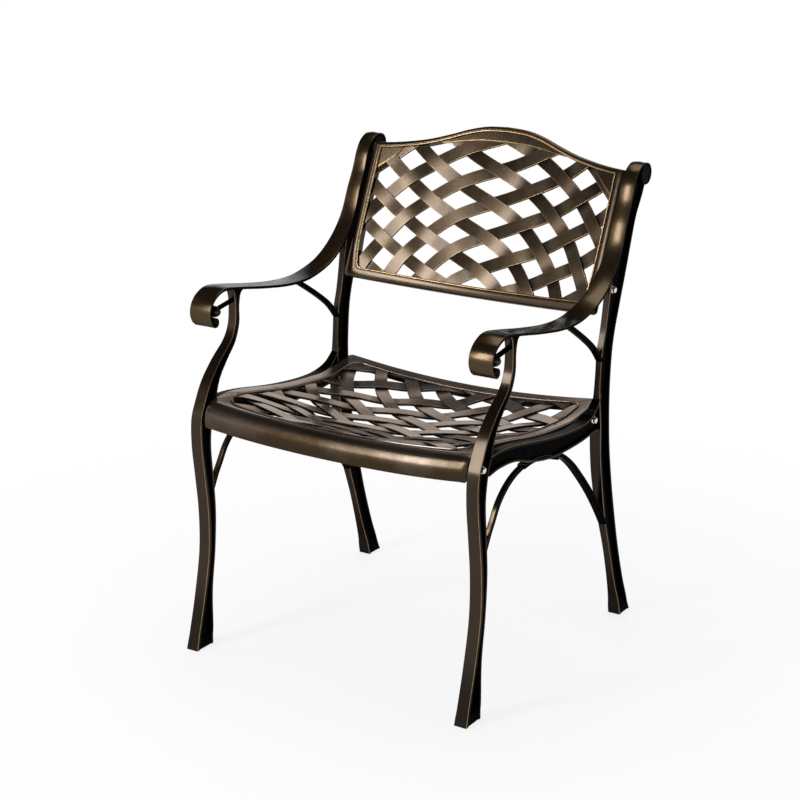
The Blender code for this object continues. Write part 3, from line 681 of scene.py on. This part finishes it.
# BACK CASTING
# One aluminum casting: a camelback rail, two side rails and a bottom rail round a fanned lattice of
# flat strips that pass over and under each other. It leans back between the posts and is bolted
# through them, two bolts a side.
BACK_RECLINE = 24.3
BACK_FOOT = (183.4, 629.8)
BACK_BOW = 26.0
POST_INSET = 15.3  # from the middle of a post to the back's edge
BACK_HALF = FRAME_MIDDLE - POST_INSET
SEAT_GAP = 0.3
SEAT_HALF = FRAME_MIDDLE - RAIL_WIDTH / 2 - SEAT_GAP
BOW_HALF = 0.96 * SEAT_HALF  # both panels bow or dish within this far of the middle
SIDE_RAIL = 19.5
BOTTOM_RAIL = 20.0
TOP_RAIL = 12.0
RAIL_FRONT = 7.0
RAIL_REAR = 13.0
BACK_CORNER = 8.0
TAPER = 9.0
TAPER_HEIGHT = 70.0
BEAD_WIDTH = 5.0
BEAD_RISE = 2.0
# Share of the half width out from the middle, distance up the panel.
CAMELBACK = (
    (0, 299), (0.158, 296), (0.297, 286.5), (0.433, 272.5), (0.587, 258), (0.752, 247),
    (0.88, 240.5), (1.01, 236),
)
CREST_FALL = 17.0
CREST_SHARE = 0.49
GUSSET_SHARE = 0.77
GUSSET_DROP = 46.0
PLATE_LAP = 1.0
STRIP_WIDTH = 25.0
STRIP_THICKNESS = 5.0
STRIP_EDGE = 0.9
WEAVE_RISE = 1.8
PLATE_HALF = WEAVE_RISE + STRIP_THICKNESS / 2 + 0.3  # the flat plates stand just clear of the weave
UNDER_SHADED = 0.4  # share of the face tone left where a strip dips under: painted shade at the crossing
TRIM_DEPTH = 30.0
# The back's fanned weave, counted in cells out from the middle and up from the foot.
BACK_CELLS = (-1.6, 10, 6.2)  # lowest, highest and farthest out
BACK_CELL_OUT = 0.154  # a cell's share of the half width
BACK_CELL_SWELL = 0.257  # added to the cells near the middle
BACK_SWELL_RATE = 0.68
BACK_CELL_UP = 32.4
BACK_NARROWING = 0.0039
BACK_WIDEST = 8
BACK_ARCH = 2.27
BACK_STRAIGHT = 7.5
BACK_WIPED = (0.063, 0.0440, 0.0275, 1)
camelback_line = curve(CAMELBACK, 8)


def camelback(x):
    """How far up the panel the rail's inner edge runs at x."""
    return float(np.interp(abs(x) / BACK_HALF, camelback_line[:, 0], camelback_line[:, 1]))


def panel_point(x, up, back=0.0):
    """A point of the back: x across, a distance up its mid-surface and a distance behind it."""
    lean = math.radians(BACK_RECLINE)
    bowed = BACK_BOW * max(0.0, 1 - (x / BOW_HALF) ** 2)
    slope = -2 * BACK_BOW * x / BOW_HALF**2 if bowed else 0.0
    tilt = math.hypot(1, slope)
    off = bowed + back / tilt
    y = BACK_FOOT[0] + up * math.sin(lean) + off * math.cos(lean)
    z = BACK_FOOT[1] + up * math.cos(lean) - off * math.sin(lean)
    return (x - back * slope / tilt, y, z)


def back_place(c, s, lift):
    """The back's fanned weave: c cells out from the middle, s cells up, lift toward the sitter."""
    out = BACK_CELL_OUT * abs(c) + BACK_CELL_SWELL * (1 - math.exp(-BACK_SWELL_RATE * abs(c)))
    x = math.copysign(BACK_HALF * out, c) * (1 - BACK_NARROWING * (BACK_WIDEST - s) ** 2)
    arched = BACK_ARCH * (math.hypot(c, 1) - 1) * (BACK_STRAIGHT - s)
    return panel_point(x, BACK_CELL_UP * s - arched, -lift)


def half_steps(low, high):
    """The numbers halfway between whole ones, from low to high."""
    return [k + 0.5 for k in range(math.floor(low), math.ceil(high)) if low <= k + 0.5 <= high]


def weave_lift(c, family):
    """A gentle wave from over to under, over where c is odd for family 1."""
    wave = -family * math.cos(math.pi * c)
    return WEAVE_RISE * (1.2 * wave - 0.2 * wave**3)


def crossing_light_share(c, family):
    """The share of the face tone a strip keeps: less where it dips under the other family, as painted
    shade.
    """
    wave = -family * math.cos(math.pi * c)
    return UNDER_SHADED + (1 - UNDER_SHADED) * min(1.0, max(0.0, (wave + 0.75) / 0.8))


def woven_paths(place, family, cells, steps=8):
    """The paths of one family of strips, with the section's directions at each point."""
    low, high, out = cells
    paths = []
    for line in half_steps(low / 2 - out, high / 2 + out):
        crossings = [k for k in half_steps(low - line, high - line) if abs(k - line) <= out]
        if len(crossings) < 2:
            continue
        path = []
        for t in np.linspace(crossings[0], crossings[-1], (len(crossings) - 1) * steps + 1):
            c, s = family * (t - line), t + line
            here = np.array(place(c, s, 0.0))
            along = np.array(place(c + family * 0.02, s + 0.02, 0.0)) - here
            along /= np.linalg.norm(along)
            normal = np.array(place(c, s, 1.0)) - here
            normal /= np.linalg.norm(normal)
            wide = np.cross(normal, along) * STRIP_WIDTH / 2
            middle = here + weave_lift(c, family) * normal
            path.append((middle, wide, normal, crossing_light_share(c, family)))
        paths.append(path)
    return paths


def trim_sheet(loop, place):
    """A thick sheet over a closed loop, used to end the strips inside the rails."""
    bm = bmesh.new()
    layers = []
    middle = np.mean(loop, axis=0)
    for off in (-TRIM_DEPTH, TRIM_DEPTH):
        rim = [bm.verts.new(np.array(place(a, b, off)) * MM) for a, b in loop]
        hub = bm.verts.new(np.array(place(middle[0], middle[1], off)) * MM)
        layers.append(rim)
        for one, two in zip(rim, rim[1:] + rim[:1]):
            bm.faces.new((one, two, hub))
    low, high = layers
    for k in range(len(low)):
        n = (k + 1) % len(low)
        bm.faces.new((low[k], low[n], high[n], high[k]))
    bmesh.ops.recalc_face_normals(bm, faces=bm.faces)
    mesh = bpy.data.meshes.new("trim")
    bm.to_mesh(mesh)
    bm.free()
    return placed("trim", mesh)


def woven_shell(paths, trim):
    """Strips swept along their paths and ended at the trim sheet."""
    obj = path_object("strips", paths)
    sizes = {"Width": STRIP_WIDTH, "Thickness": STRIP_THICKNESS, "Edge Radius": STRIP_EDGE}
    made_by(swept_bar, obj, **{label: size * MM for label, size in sizes.items()})
    cut = obj.modifiers.new("trim", "BOOLEAN")
    cut.operation = "INTERSECT"
    cut.solver = "EXACT"
    cut.object = trim
    return evaluated_shell(obj)


def back_outline(inset):
    """A closed loop of (x, up) round the back, inset from its edge by a share of each rail."""
    half = BACK_HALF - inset * SIDE_RAIL
    low = -BOTTOM_RAIL * (1 - inset)
    corner = BACK_CORNER
    loop = [(half * t, low) for t in np.linspace(-0.9, 0.9, 24)]
    for k in range(9):
        a = math.radians(-90 + 11.25 * k)
        loop.append((half - corner + corner * math.cos(a), low + corner + corner * math.sin(a)))
    top = camelback(half) + TOP_RAIL * (1 - inset)
    climb = np.linspace(0, 1, 18)[1:-1]
    loop += [(half, low + corner + (top - low - corner) * t) for t in climb]
    rail = TOP_RAIL * (1 - inset)
    loop += [(half * t, camelback(half * t) + rail) for t in np.linspace(1, -1, 97)]
    loop += [(-half, low + corner + (top - low - corner) * t) for t in reversed(climb)]
    for k in range(9):
        a = math.radians(180 + 11.25 * k)
        loop.append((corner - half + corner * math.cos(a), low + corner + corner * math.sin(a)))
    tapered = []
    for x, up in loop:
        narrow = TAPER * inset * max(0.0, 1 - max(up, 0.0) / TAPER_HEIGHT) ** 2
        tapered.append((x * (1 - narrow / half), up))
    return tapered


def back_rails():
    """The rails round the back: rounded outside, with a bead along the inner edge."""
    front = -RAIL_FRONT
    rings = []
    for (xo, uo), (xi, ui) in zip(back_outline(0), back_outline(1)):
        width = math.hypot(xo - xi, uo - ui)
        bead = min(BEAD_WIDTH / width, 0.35)
        groove = 1 - 1.1 * bead
        section = [(0, RAIL_REAR * 0.4), (0, front * 0.2)]
        section += [
            (t * groove, front * depth) for t, depth in (
                (0.07, 0.5), (0.22, 0.7), (0.45, 0.85), (0.7, 0.96), (0.95, 1), (1, 0.9),
            )
        ]
        section += [
            (1 - bead, front - 0.2), (1 - bead * 0.75, front - BEAD_RISE * 0.8),
            (1 - bead * 0.45, front - BEAD_RISE), (1 - bead * 0.15, front - BEAD_RISE * 0.6),
            (1, front + 1), (1, RAIL_REAR - 1.5), (0.95, RAIL_REAR - 0.5), (0.1, RAIL_REAR),
            (0.02, RAIL_REAR * 0.8),
        ]
        rings.append([panel_point(xo + (xi - xo) * t, uo + (ui - uo) * t, n) for t, n in section])
    # The crown and the bead take the face tone; the groove and the rear get painted shade.
    marks = [
        (0, 0.3), (0, 0.5), (0, 0.8), (0, 1), (0, 1), (0, 1), (0, 0.9), (0, 0.1), (0.5, 0.4),
        (0.97, 1), (1, 1), (0.97, 1), (0, 0.3), (0, 0.1), (0, 0.1), (0, 0.1), (0, 0.2),
    ]
    return loft(rings, marks, closed=True, rounding=0)


def flat_plate(columns):
    """A flat plate in the panel that ends inside the top rail. A column is (x, lower edge)."""
    rings = []
    half = PLATE_HALF
    for x, low in columns:
        high = camelback(x) + TOP_RAIL / 2
        corners = ((low, -half), (high, -half), (high, half), (low, half))
        rings.append([panel_point(x, up, n) for up, n in corners])
    # The front face takes the face tone and the back painted shade.
    return loft(rings, [(1, 0.9), (0, 0.9), (0, 0.1), (1, 0.1)])


def crescent():
    """The flat crescent under the camelback's crest."""
    reach = CREST_SHARE * BACK_HALF
    columns = []
    for x in np.linspace(-reach, reach, 65):
        columns.append((x, camelback(x) - PLATE_LAP - CREST_FALL * (1 - (x / reach) ** 2)))
    return flat_plate(columns)


def gusset(side):
    """The flat plate that fills one of the upper corners."""
    start, end = GUSSET_SHARE * BACK_HALF, BACK_HALF - SIDE_RAIL / 2
    columns = []
    for t in np.linspace(0, 1, 21):
        x = side * (start + (end - start) * t)
        columns.append((x, camelback(x) - PLATE_LAP - GUSSET_DROP * t**0.8))
    return flat_plate(columns)


back_trim = trim_sheet(back_outline(0.5), panel_point)
back_shells = [back_rails(), crescent(), gusset(-1), gusset(1)]
for family in (1, -1):
    back_shells.append(woven_shell(woven_paths(back_place, family, BACK_CELLS), back_trim))
bpy.data.objects.remove(back_trim)
piece = casting("back_casting", back_shells)
back_bronze = bronze("Back casting bronze", 0.6, {
    "Edge Start": 0.88, "Edge Strength": 1.0, "Roughness": 0.26, "Wiped": BACK_WIPED,
})
piece.data.materials.append(back_bronze)
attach(piece, "root")
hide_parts("back")


# SEAT CASTING
# One aluminum casting: a dished lattice of flat strips in a raised rim, with a rolled apron at the
# front and a short skirt at the sides and rear. Four bolts through the side rails carry it.
SEAT_REAR = 200.0
SEAT_FRONT = -250.0
SEAT_FRONT_BOW = 8.0
SEAT_SIDE_RIM = 25.0
SEAT_REAR_RIM = 22.0
SEAT_FRONT_RIM = 12.0
SEAT_RIM_HALF_DEPTH = 5.0
SEAT_EDGE_DROP = 1.5
SEAT_WALL = 6.0
SKIRT_DEPTH = 27.0
APRON_DEPTH = 43.0
APRON_REACH = 22.0
SEAT_CELLS = (-6.6, 9.6, 6.2)  # lowest, highest and farthest out
SEAT_CELL_OUT = 0.286
SEAT_CELL_BACK = 29.4
SEAT_NARROWING = 0.013
SEAT_STRIP_TONE = (0.6, 0.5)
# A pale mauve-grey face tone for the seat, far lighter than the frame's: painted sheen that stands for the
# reflection its faces show at a low angle, over the bronze.
SEAT_FACE_AND_SHEEN = (0.25, 0.200, 0.172, 1)
SEAT_WIPED = (0.033, 0.0200, 0.0070, 1)
# y and height of the top of the rim, and of the middle of the pan.
SEAT_RIM_LINE = (
    (-260, 468), (-217, 471), (-187, 472), (-128, 463), (-66, 451), (-4, 441.5),
    (61, 436), (100, 434), (147, 439), (200, 447),
)
SEAT_PAN_LINE = (
    (-260, 460), (-200, 446), (-150, 428), (-80, 412), (-16, 406.5),
    (42, 405.5), (105, 408), (161, 420), (200, 430),
)
rim_line = curve(SEAT_RIM_LINE, 8)
pan_line = curve(SEAT_PAN_LINE, 8)


def seat_z(x, y):
    """Height of the seat's mid-surface."""
    rim = float(np.interp(y, rim_line[:, 0], rim_line[:, 1]))
    pan = float(np.interp(y, pan_line[:, 0], pan_line[:, 1]))
    return rim - (rim - pan) * max(0.0, 1 - (x / BOW_HALF) ** 2) - SEAT_RIM_HALF_DEPTH


def seat_point(x, y, lift=0.0):
    """A point of the seat, lifted straight up from its mid-surface."""
    return (x, y, seat_z(x, y) + lift)


def seat_place(c, s, lift):
    """The seat's fanned weave. Lift is upward, square to the dished pan."""
    x = SEAT_HALF * (SEAT_CELL_OUT - SEAT_NARROWING * s) * (1.035 * c - 0.035 * c * abs(c))
    y = SEAT_CELL_BACK * (s - 2.55 + 0.1 * abs(c) ** 1.1 * (s - 2.7))
    step = 2.0
    slope_x = (seat_z(x + step, y) - seat_z(x - step, y)) / (2 * step)
    slope_y = (seat_z(x, y + step) - seat_z(x, y - step)) / (2 * step)
    long = math.sqrt(1 + slope_x**2 + slope_y**2)
    return (x - lift * slope_x / long, y - lift * slope_y / long, seat_z(x, y) + lift / long)


def seat_outline(inset):
    """Points (x, y, apron share) round the seat, inset from its edge by a share of the rim."""
    half = SEAT_HALF - inset * SEAT_SIDE_RIM
    rear = SEAT_REAR - inset * SEAT_REAR_RIM
    front = SEAT_FRONT + inset * SEAT_FRONT_RIM
    rear_corner = 6 + 22 * inset
    front_corner = 4 + 34 * inset
    right = []
    for t in np.linspace(0, 1, 25):
        x = t * (half - front_corner)
        right.append((x, front - SEAT_FRONT_BOW * (1 - t * t), 1.0))
    for k in range(1, 8):
        a = math.radians(-90 + 90 * k / 7)
        x = half - front_corner + front_corner * math.cos(a)
        right.append((x, front + front_corner * (1 + math.sin(a)), 1 - k / 7))
    y0, y1 = front + front_corner, rear - rear_corner
    right += [(half, y0 + (y1 - y0) * t, 0.0) for t in np.linspace(0, 1, 44)[1:-1]]
    for k in range(9):
        a = math.radians(11.25 * k)
        x = half - rear_corner + rear_corner * math.cos(a)
        right.append((x, rear + rear_corner * (math.sin(a) - 1), 0.0))
    right += [(t * (half - rear_corner), rear, 0.0) for t in np.linspace(1, 0, 22)[1:]]
    return right + [(-x, y, share) for x, y, share in reversed(right[1:-1])]


def seat_rim():
    """The seat's rim with its bead, its skirt at the sides and rear and its rolled front apron."""
    rings = []
    top = SEAT_RIM_HALF_DEPTH
    for (xo, yo, share), (xi, yi, _) in zip(seat_outline(0), seat_outline(1)):
        width = math.hypot(xi - xo, yi - yo)
        ux, uy = (xi - xo) / width, (yi - yo) / width
        bead = BEAD_WIDTH / width
        ring = []
        for t, lift in (
            (1, -top), (1, top - 0.8), (1 - bead * 0.15, top + BEAD_RISE * 0.6),
            (1 - bead * 0.45, top + BEAD_RISE), (1 - bead * 0.75, top + BEAD_RISE * 0.8),
            (1 - bead, top), (1 - bead * 1.2, top - 0.5), (0.12, top), (0.05, top - 0.3),
            (0, top - SEAT_EDGE_DROP),
        ):
            ring.append(seat_point(xo + (xi - xo) * t, yo + (yi - yo) * t, lift))
        depth = SKIRT_DEPTH + share * (APRON_DEPTH - SKIRT_DEPTH) - SEAT_EDGE_DROP
        edge = ring[-1][2]
        for turn in range(10, 91, 10):
            a = math.radians(turn)
            fall = (1 - math.cos(a)) * share + turn / 90 * (1 - share)
            ring.append((xo, yo - share * APRON_REACH * math.sin(a), edge - depth * fall))
        xb, yb, zb = ring[-1]
        ring.append((xb + ux * 2, yb + uy * 2, zb - 0.5 * share))
        ring.append((xb + ux * SEAT_WALL, yb + uy * SEAT_WALL, zb))
        under = seat_point(xo + ux * SEAT_WALL, yo + uy * SEAT_WALL, -top)
        ring.append((under[0], under[1], min(under[2], edge - SEAT_WALL)))
        rings.append(ring)
    # The inner walls and underside get painted shade; the rim's top takes the face tone and the skirt and
    # apron the lightest tone, a little lighter further down.
    marks = [
        (0, 0), (0, 0.1), (0.9, 0.3), (0.95, 0.5), (0.9, 0.3), (0, 0.1), (0, 0.3), (0, 0.45),
        (0, 0.4), (0, 0.35),
    ]
    marks += [(0, 0.8 + 0.025 * k) for k in range(8)] + [(0.99, 1), (0.9, 0.4), (0, 0), (0, 0)]
    return loft(rings, marks, closed=True, rounding=0)


seat_trim = trim_sheet([(x, y) for x, y, _ in seat_outline(0.6)], seat_point)
seat_shells = [seat_rim()]
for family in (1, -1):
    seat_strips = woven_shell(woven_paths(seat_place, family, SEAT_CELLS), seat_trim)
    seat_shells.append(toned(seat_strips, *SEAT_STRIP_TONE))
bpy.data.objects.remove(seat_trim)
piece = casting("seat_casting", seat_shells)
seat_bronze = bronze("Seat casting bronze", 0.35, {
    "Edge Start": 0.965, "Edge Strength": 0.25, "Roughness": 0.24, "Face": SEAT_FACE_AND_SHEEN,
    "Wiped": SEAT_WIPED,
})
piece.data.materials.append(seat_bronze)
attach(piece, "root")
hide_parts("seat")


# BOLTS
# Eight zinc plated steel hex flange bolts, four a side, pass through the web of the side casting
# into bosses on the seat and the back. Only their heads show, and the upper two of the back, whose
# heads the photograph doesn't show bright, are painted over with the bronze.
BOLT_FLANGE = 14.0
BOLT_FLANGE_HEIGHT = 1.5
BOLT_HEAD = 10.0
BOLT_HEAD_HEIGHT = 4.5
BOLT_FLANGE_TOP = 0.44  # radius over the flange's width
BOLT_CROWN = 0.2  # share of the head's height that narrows
BOLT_CROWN_TOP = 0.78
ZINC_BOLTS = [
    f"bolt_{place}_{side}"
    for side in ("right", "left") for place in ("seat_front", "seat_rear", "back_low")
]
# Having no marks, the painted heads take the bronze's near-black tone of the hollows and painted shade.
PAINTED_BOLTS = ["bolt_back_high_right", "bolt_back_high_left"]


def bolt_tree():
    """A hex flange bolt at each point of the mesh, pointing along the point's out vector."""
    tree = shape_tree("Flange bolts", (
        ("Flange", BOLT_FLANGE), ("Flange Height", BOLT_FLANGE_HEIGHT), ("Head", BOLT_HEAD),
        ("Head Height", BOLT_HEAD_HEIGHT),
    ))
    given = tree.nodes.new("NodeGroupInput").outputs

    def scaled(label, factor):
        return maths(tree, "MULTIPLY", given[label], factor)

    def cone(vertices, bottom, top, depth):
        sizes = {"Vertices": vertices, "Radius Bottom": bottom, "Radius Top": top, "Depth": depth}
        return add(tree, "GeometryNodeMeshCone", sizes)["Mesh"]

    def lifted(geometry, height):
        up = add(tree, "ShaderNodeCombineXYZ", {"Z": height})[0]
        move = {"Geometry": geometry, "Translation": up}
        return add(tree, "GeometryNodeTransform", move)["Geometry"]

    corner = 1 / math.sqrt(3)  # radius of a hexagon's corners over its width across the flats
    wide = scaled("Head", corner)
    height = scaled("Head Height", 1 - BOLT_CROWN)
    top = scaled("Flange", BOLT_FLANGE_TOP)
    flange = cone(48, scaled("Flange", 0.5), top, given["Flange Height"])
    flats = lifted(cone(6, wide, wide, height), given["Flange Height"])
    top = scaled("Head", corner * BOLT_CROWN_TOP)
    crown = lifted(cone(6, wide, top, scaled("Head Height", BOLT_CROWN)), height)
    crown = lifted(crown, given["Flange Height"])
    whole = tree.nodes.new("GeometryNodeJoinGeometry")
    for part in (flange, flats, crown):
        tree.links.new(part, whole.inputs["Geometry"])
    out = {"Vector": named(tree, "out", "FLOAT_VECTOR")}
    turn = add(tree, "FunctionNodeAlignRotationToVector", out, axis="Z")["Rotation"]
    spots = {"Points": given["Geometry"], "Instance": whole.outputs["Geometry"], "Rotation": turn}
    bolts = add(tree, "GeometryNodeInstanceOnPoints", spots)["Instances"]
    return finished(tree, bolts, given["Finish"])


zinc, zinc_tree, zinc_shader = principled("Zinc plated bolt")
zinc_where = add(zinc_tree, "ShaderNodeTexCoord", {})["Object"]
zinc_noise = add(zinc_tree, "ShaderNodeTexNoise", {"Vector": zinc_where, "Scale": 400.0})["Fac"]
fill(zinc_tree, zinc_shader, {
    "Metallic": 1.0,
    "Base Color": mixed(zinc_tree, zinc_noise, (0.62, 0.61, 0.58, 1), (0.82, 0.80, 0.74, 1)),
    "Roughness": ranged(zinc_tree, zinc_noise, 0.0, 1.0, 0.18, 0.36),
})

flange_bolts = bolt_tree()


def bolt_set(name, bolts, finish):
    """One object with the heads of these bolts, each set on the web at its CAD bolt's place."""
    places, outs = [], []
    for bolt in bolts:
        low, high = (np.array(corner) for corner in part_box(bolt))
        out = 1 if bolt.endswith("right") else -1
        tip = high[0] if out > 0 else low[0]
        head = (BOLT_FLANGE_HEIGHT + BOLT_HEAD_HEIGHT) * MM
        places.append((tip - out * head, (low[1] + high[1]) / 2, (low[2] + high[2]) / 2))
        outs.append((out, 0, 0))
    points = bpy.data.meshes.new(name + "_points")
    points.from_pydata(places, [], [])
    vectors = points.attributes.new("out", "FLOAT_VECTOR", "POINT")
    vectors.data.foreach_set("vector", np.ravel(outs).astype(float))
    stand = placed(name + "_points", points)
    made_by(flange_bolts, stand, Finish=finish)
    mesh = evaluated_mesh(stand)
    mesh.shade_smooth()
    mesh.set_sharp_from_angle(angle=math.radians(30))
    return placed(name, mesh)


for name, bolts, finish in (
    ("zinc_bolts", ZINC_BOLTS, zinc), ("painted_bolts", PAINTED_BOLTS, frame_bronze),
):
    piece = bolt_set(name, bolts, finish)
    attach(piece, "root")
    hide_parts(*bolts)


# STUDIO
# A pale floor that keeps the chair's shadow, a white background, soft boxes and the photograph's
# camera, whose place was fitted to the chair's feet, arms and scrolls.
def seen_straight(tree):
    """1 for rays that show a thing to the camera, mirrored or through glass too, 0 for light."""
    rays = add(tree, "ShaderNodeLightPath", {})
    seen = maths(tree, "MAXIMUM", rays["Is Camera Ray"], rays["Is Glossy Ray"])
    return maths(tree, "MAXIMUM", seen, rays["Is Transmission Ray"])


# The floor looks pure white away from the chair and keeps its shadow beside it.
floor_mesh = bpy.data.meshes.new("Floor")
floor_mesh.from_pydata([(-30, -30, 0), (30, -30, 0), (30, 30, 0), (-30, 30, 0)], [], [(0, 1, 2, 3)])
floor = placed("Floor", floor_mesh)
paint, tree, shader = principled("Pale floor")
fill(tree, shader, {"Base Color": (0.82, 0.82, 0.82, 1), "Roughness": 0.9})
where = add(tree, "ShaderNodeTexCoord", {})["Object"]
away = add(tree, "ShaderNodeVectorMath", {0: where}, operation="LENGTH")["Value"]
fade = ranged(tree, away, 0.3, 1.5, 0.8, 1.0, way="SMOOTHSTEP")
share = maths(tree, "MULTIPLY", fade, seen_straight(tree))
white = add(tree, "ShaderNodeEmission", {"Color": (1, 1, 1, 1), "Strength": 1.0})[0]
blend = {"Fac": share, 1: shader.outputs["BSDF"], 2: white}
surface = add(tree, "ShaderNodeMixShader", blend)[0]
fill(tree, tree.nodes["Material Output"], {"Surface": surface})
floor_mesh.materials.append(paint)
floor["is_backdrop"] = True

# White where the camera sees it, dimmer overhead in the gloss, and a weaker light from all round.
world = bpy.data.worlds.new("Studio")
bpy.context.scene.world = world
world.use_nodes = True
sky = world.node_tree
sky.nodes.clear()
where = add(sky, "ShaderNodeTexCoord", {})["Generated"]
height = add(sky, "ShaderNodeSeparateXYZ", {0: where})["Z"]
ceiling = ranged(sky, height, 0.25, 0.44, 1.0, 0.08, way="SMOOTHSTEP")
light = add(sky, "ShaderNodeBackground", {"Color": (1, 1, 1, 1), "Strength": 0.55})[0]
white = add(sky, "ShaderNodeBackground", {"Color": (1, 1, 1, 1), "Strength": ceiling})[0]
blend = {"Fac": seen_straight(sky), 1: light, 2: white}
add(sky, "ShaderNodeOutputWorld", {"Surface": add(sky, "ShaderNodeMixShader", blend)[0]})

# Where each lamp stands, what it points at, its width and height in metres and its watts.
for label, place, aim, size, power in (
    ("Left front strip", (-1.3, -3.0, 2.0), (0, 0, 0.7), (0.75, 1.6), 62),
    ("Left box", (-3.0, -0.9, 1.9), (0, 0, 0.6), (1.0, 1.6), 6),
    ("Top box", (-0.2, 0.9, 3.2), (0, 0, 0.5), (1.8, 1.8), 28),
    ("Rear box", (-2.2, 3.2, 1.6), (0, 0, 0.45), (3.4, 1.8), 26),
):
    lamp = bpy.data.lights.new(label, "AREA")
    lamp.shape = "RECTANGLE"
    lamp.size, lamp.size_y = size
    lamp.energy = power
    box = placed(label, lamp)
    box.visible_camera = False
    box.location = place
    toward = np.array(aim) - np.array(place)
    yaw = math.atan2(toward[1], toward[0]) - math.pi / 2
    tilt = math.atan2(math.hypot(toward[0], toward[1]), -toward[2])
    box.rotation_euler = (tilt, 0, yaw)

camera = bpy.data.cameras.new("Photograph")
camera.sensor_width = 36.0
camera.lens = 90.07
eye = placed("Photograph", camera)
eye.location = (1.8628, -2.9418 + DRAWN_BACK * MM, 1.5455)
eye.rotation_euler = (math.radians(72.55), 0, math.radians(32.77))
bpy.context.scene.camera = eye
bpy.context.scene.view_settings.view_transform = "Standard"

size = {"cad": [list(corner) for corner in cad_box], "visual": [list(corner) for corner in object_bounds()]}
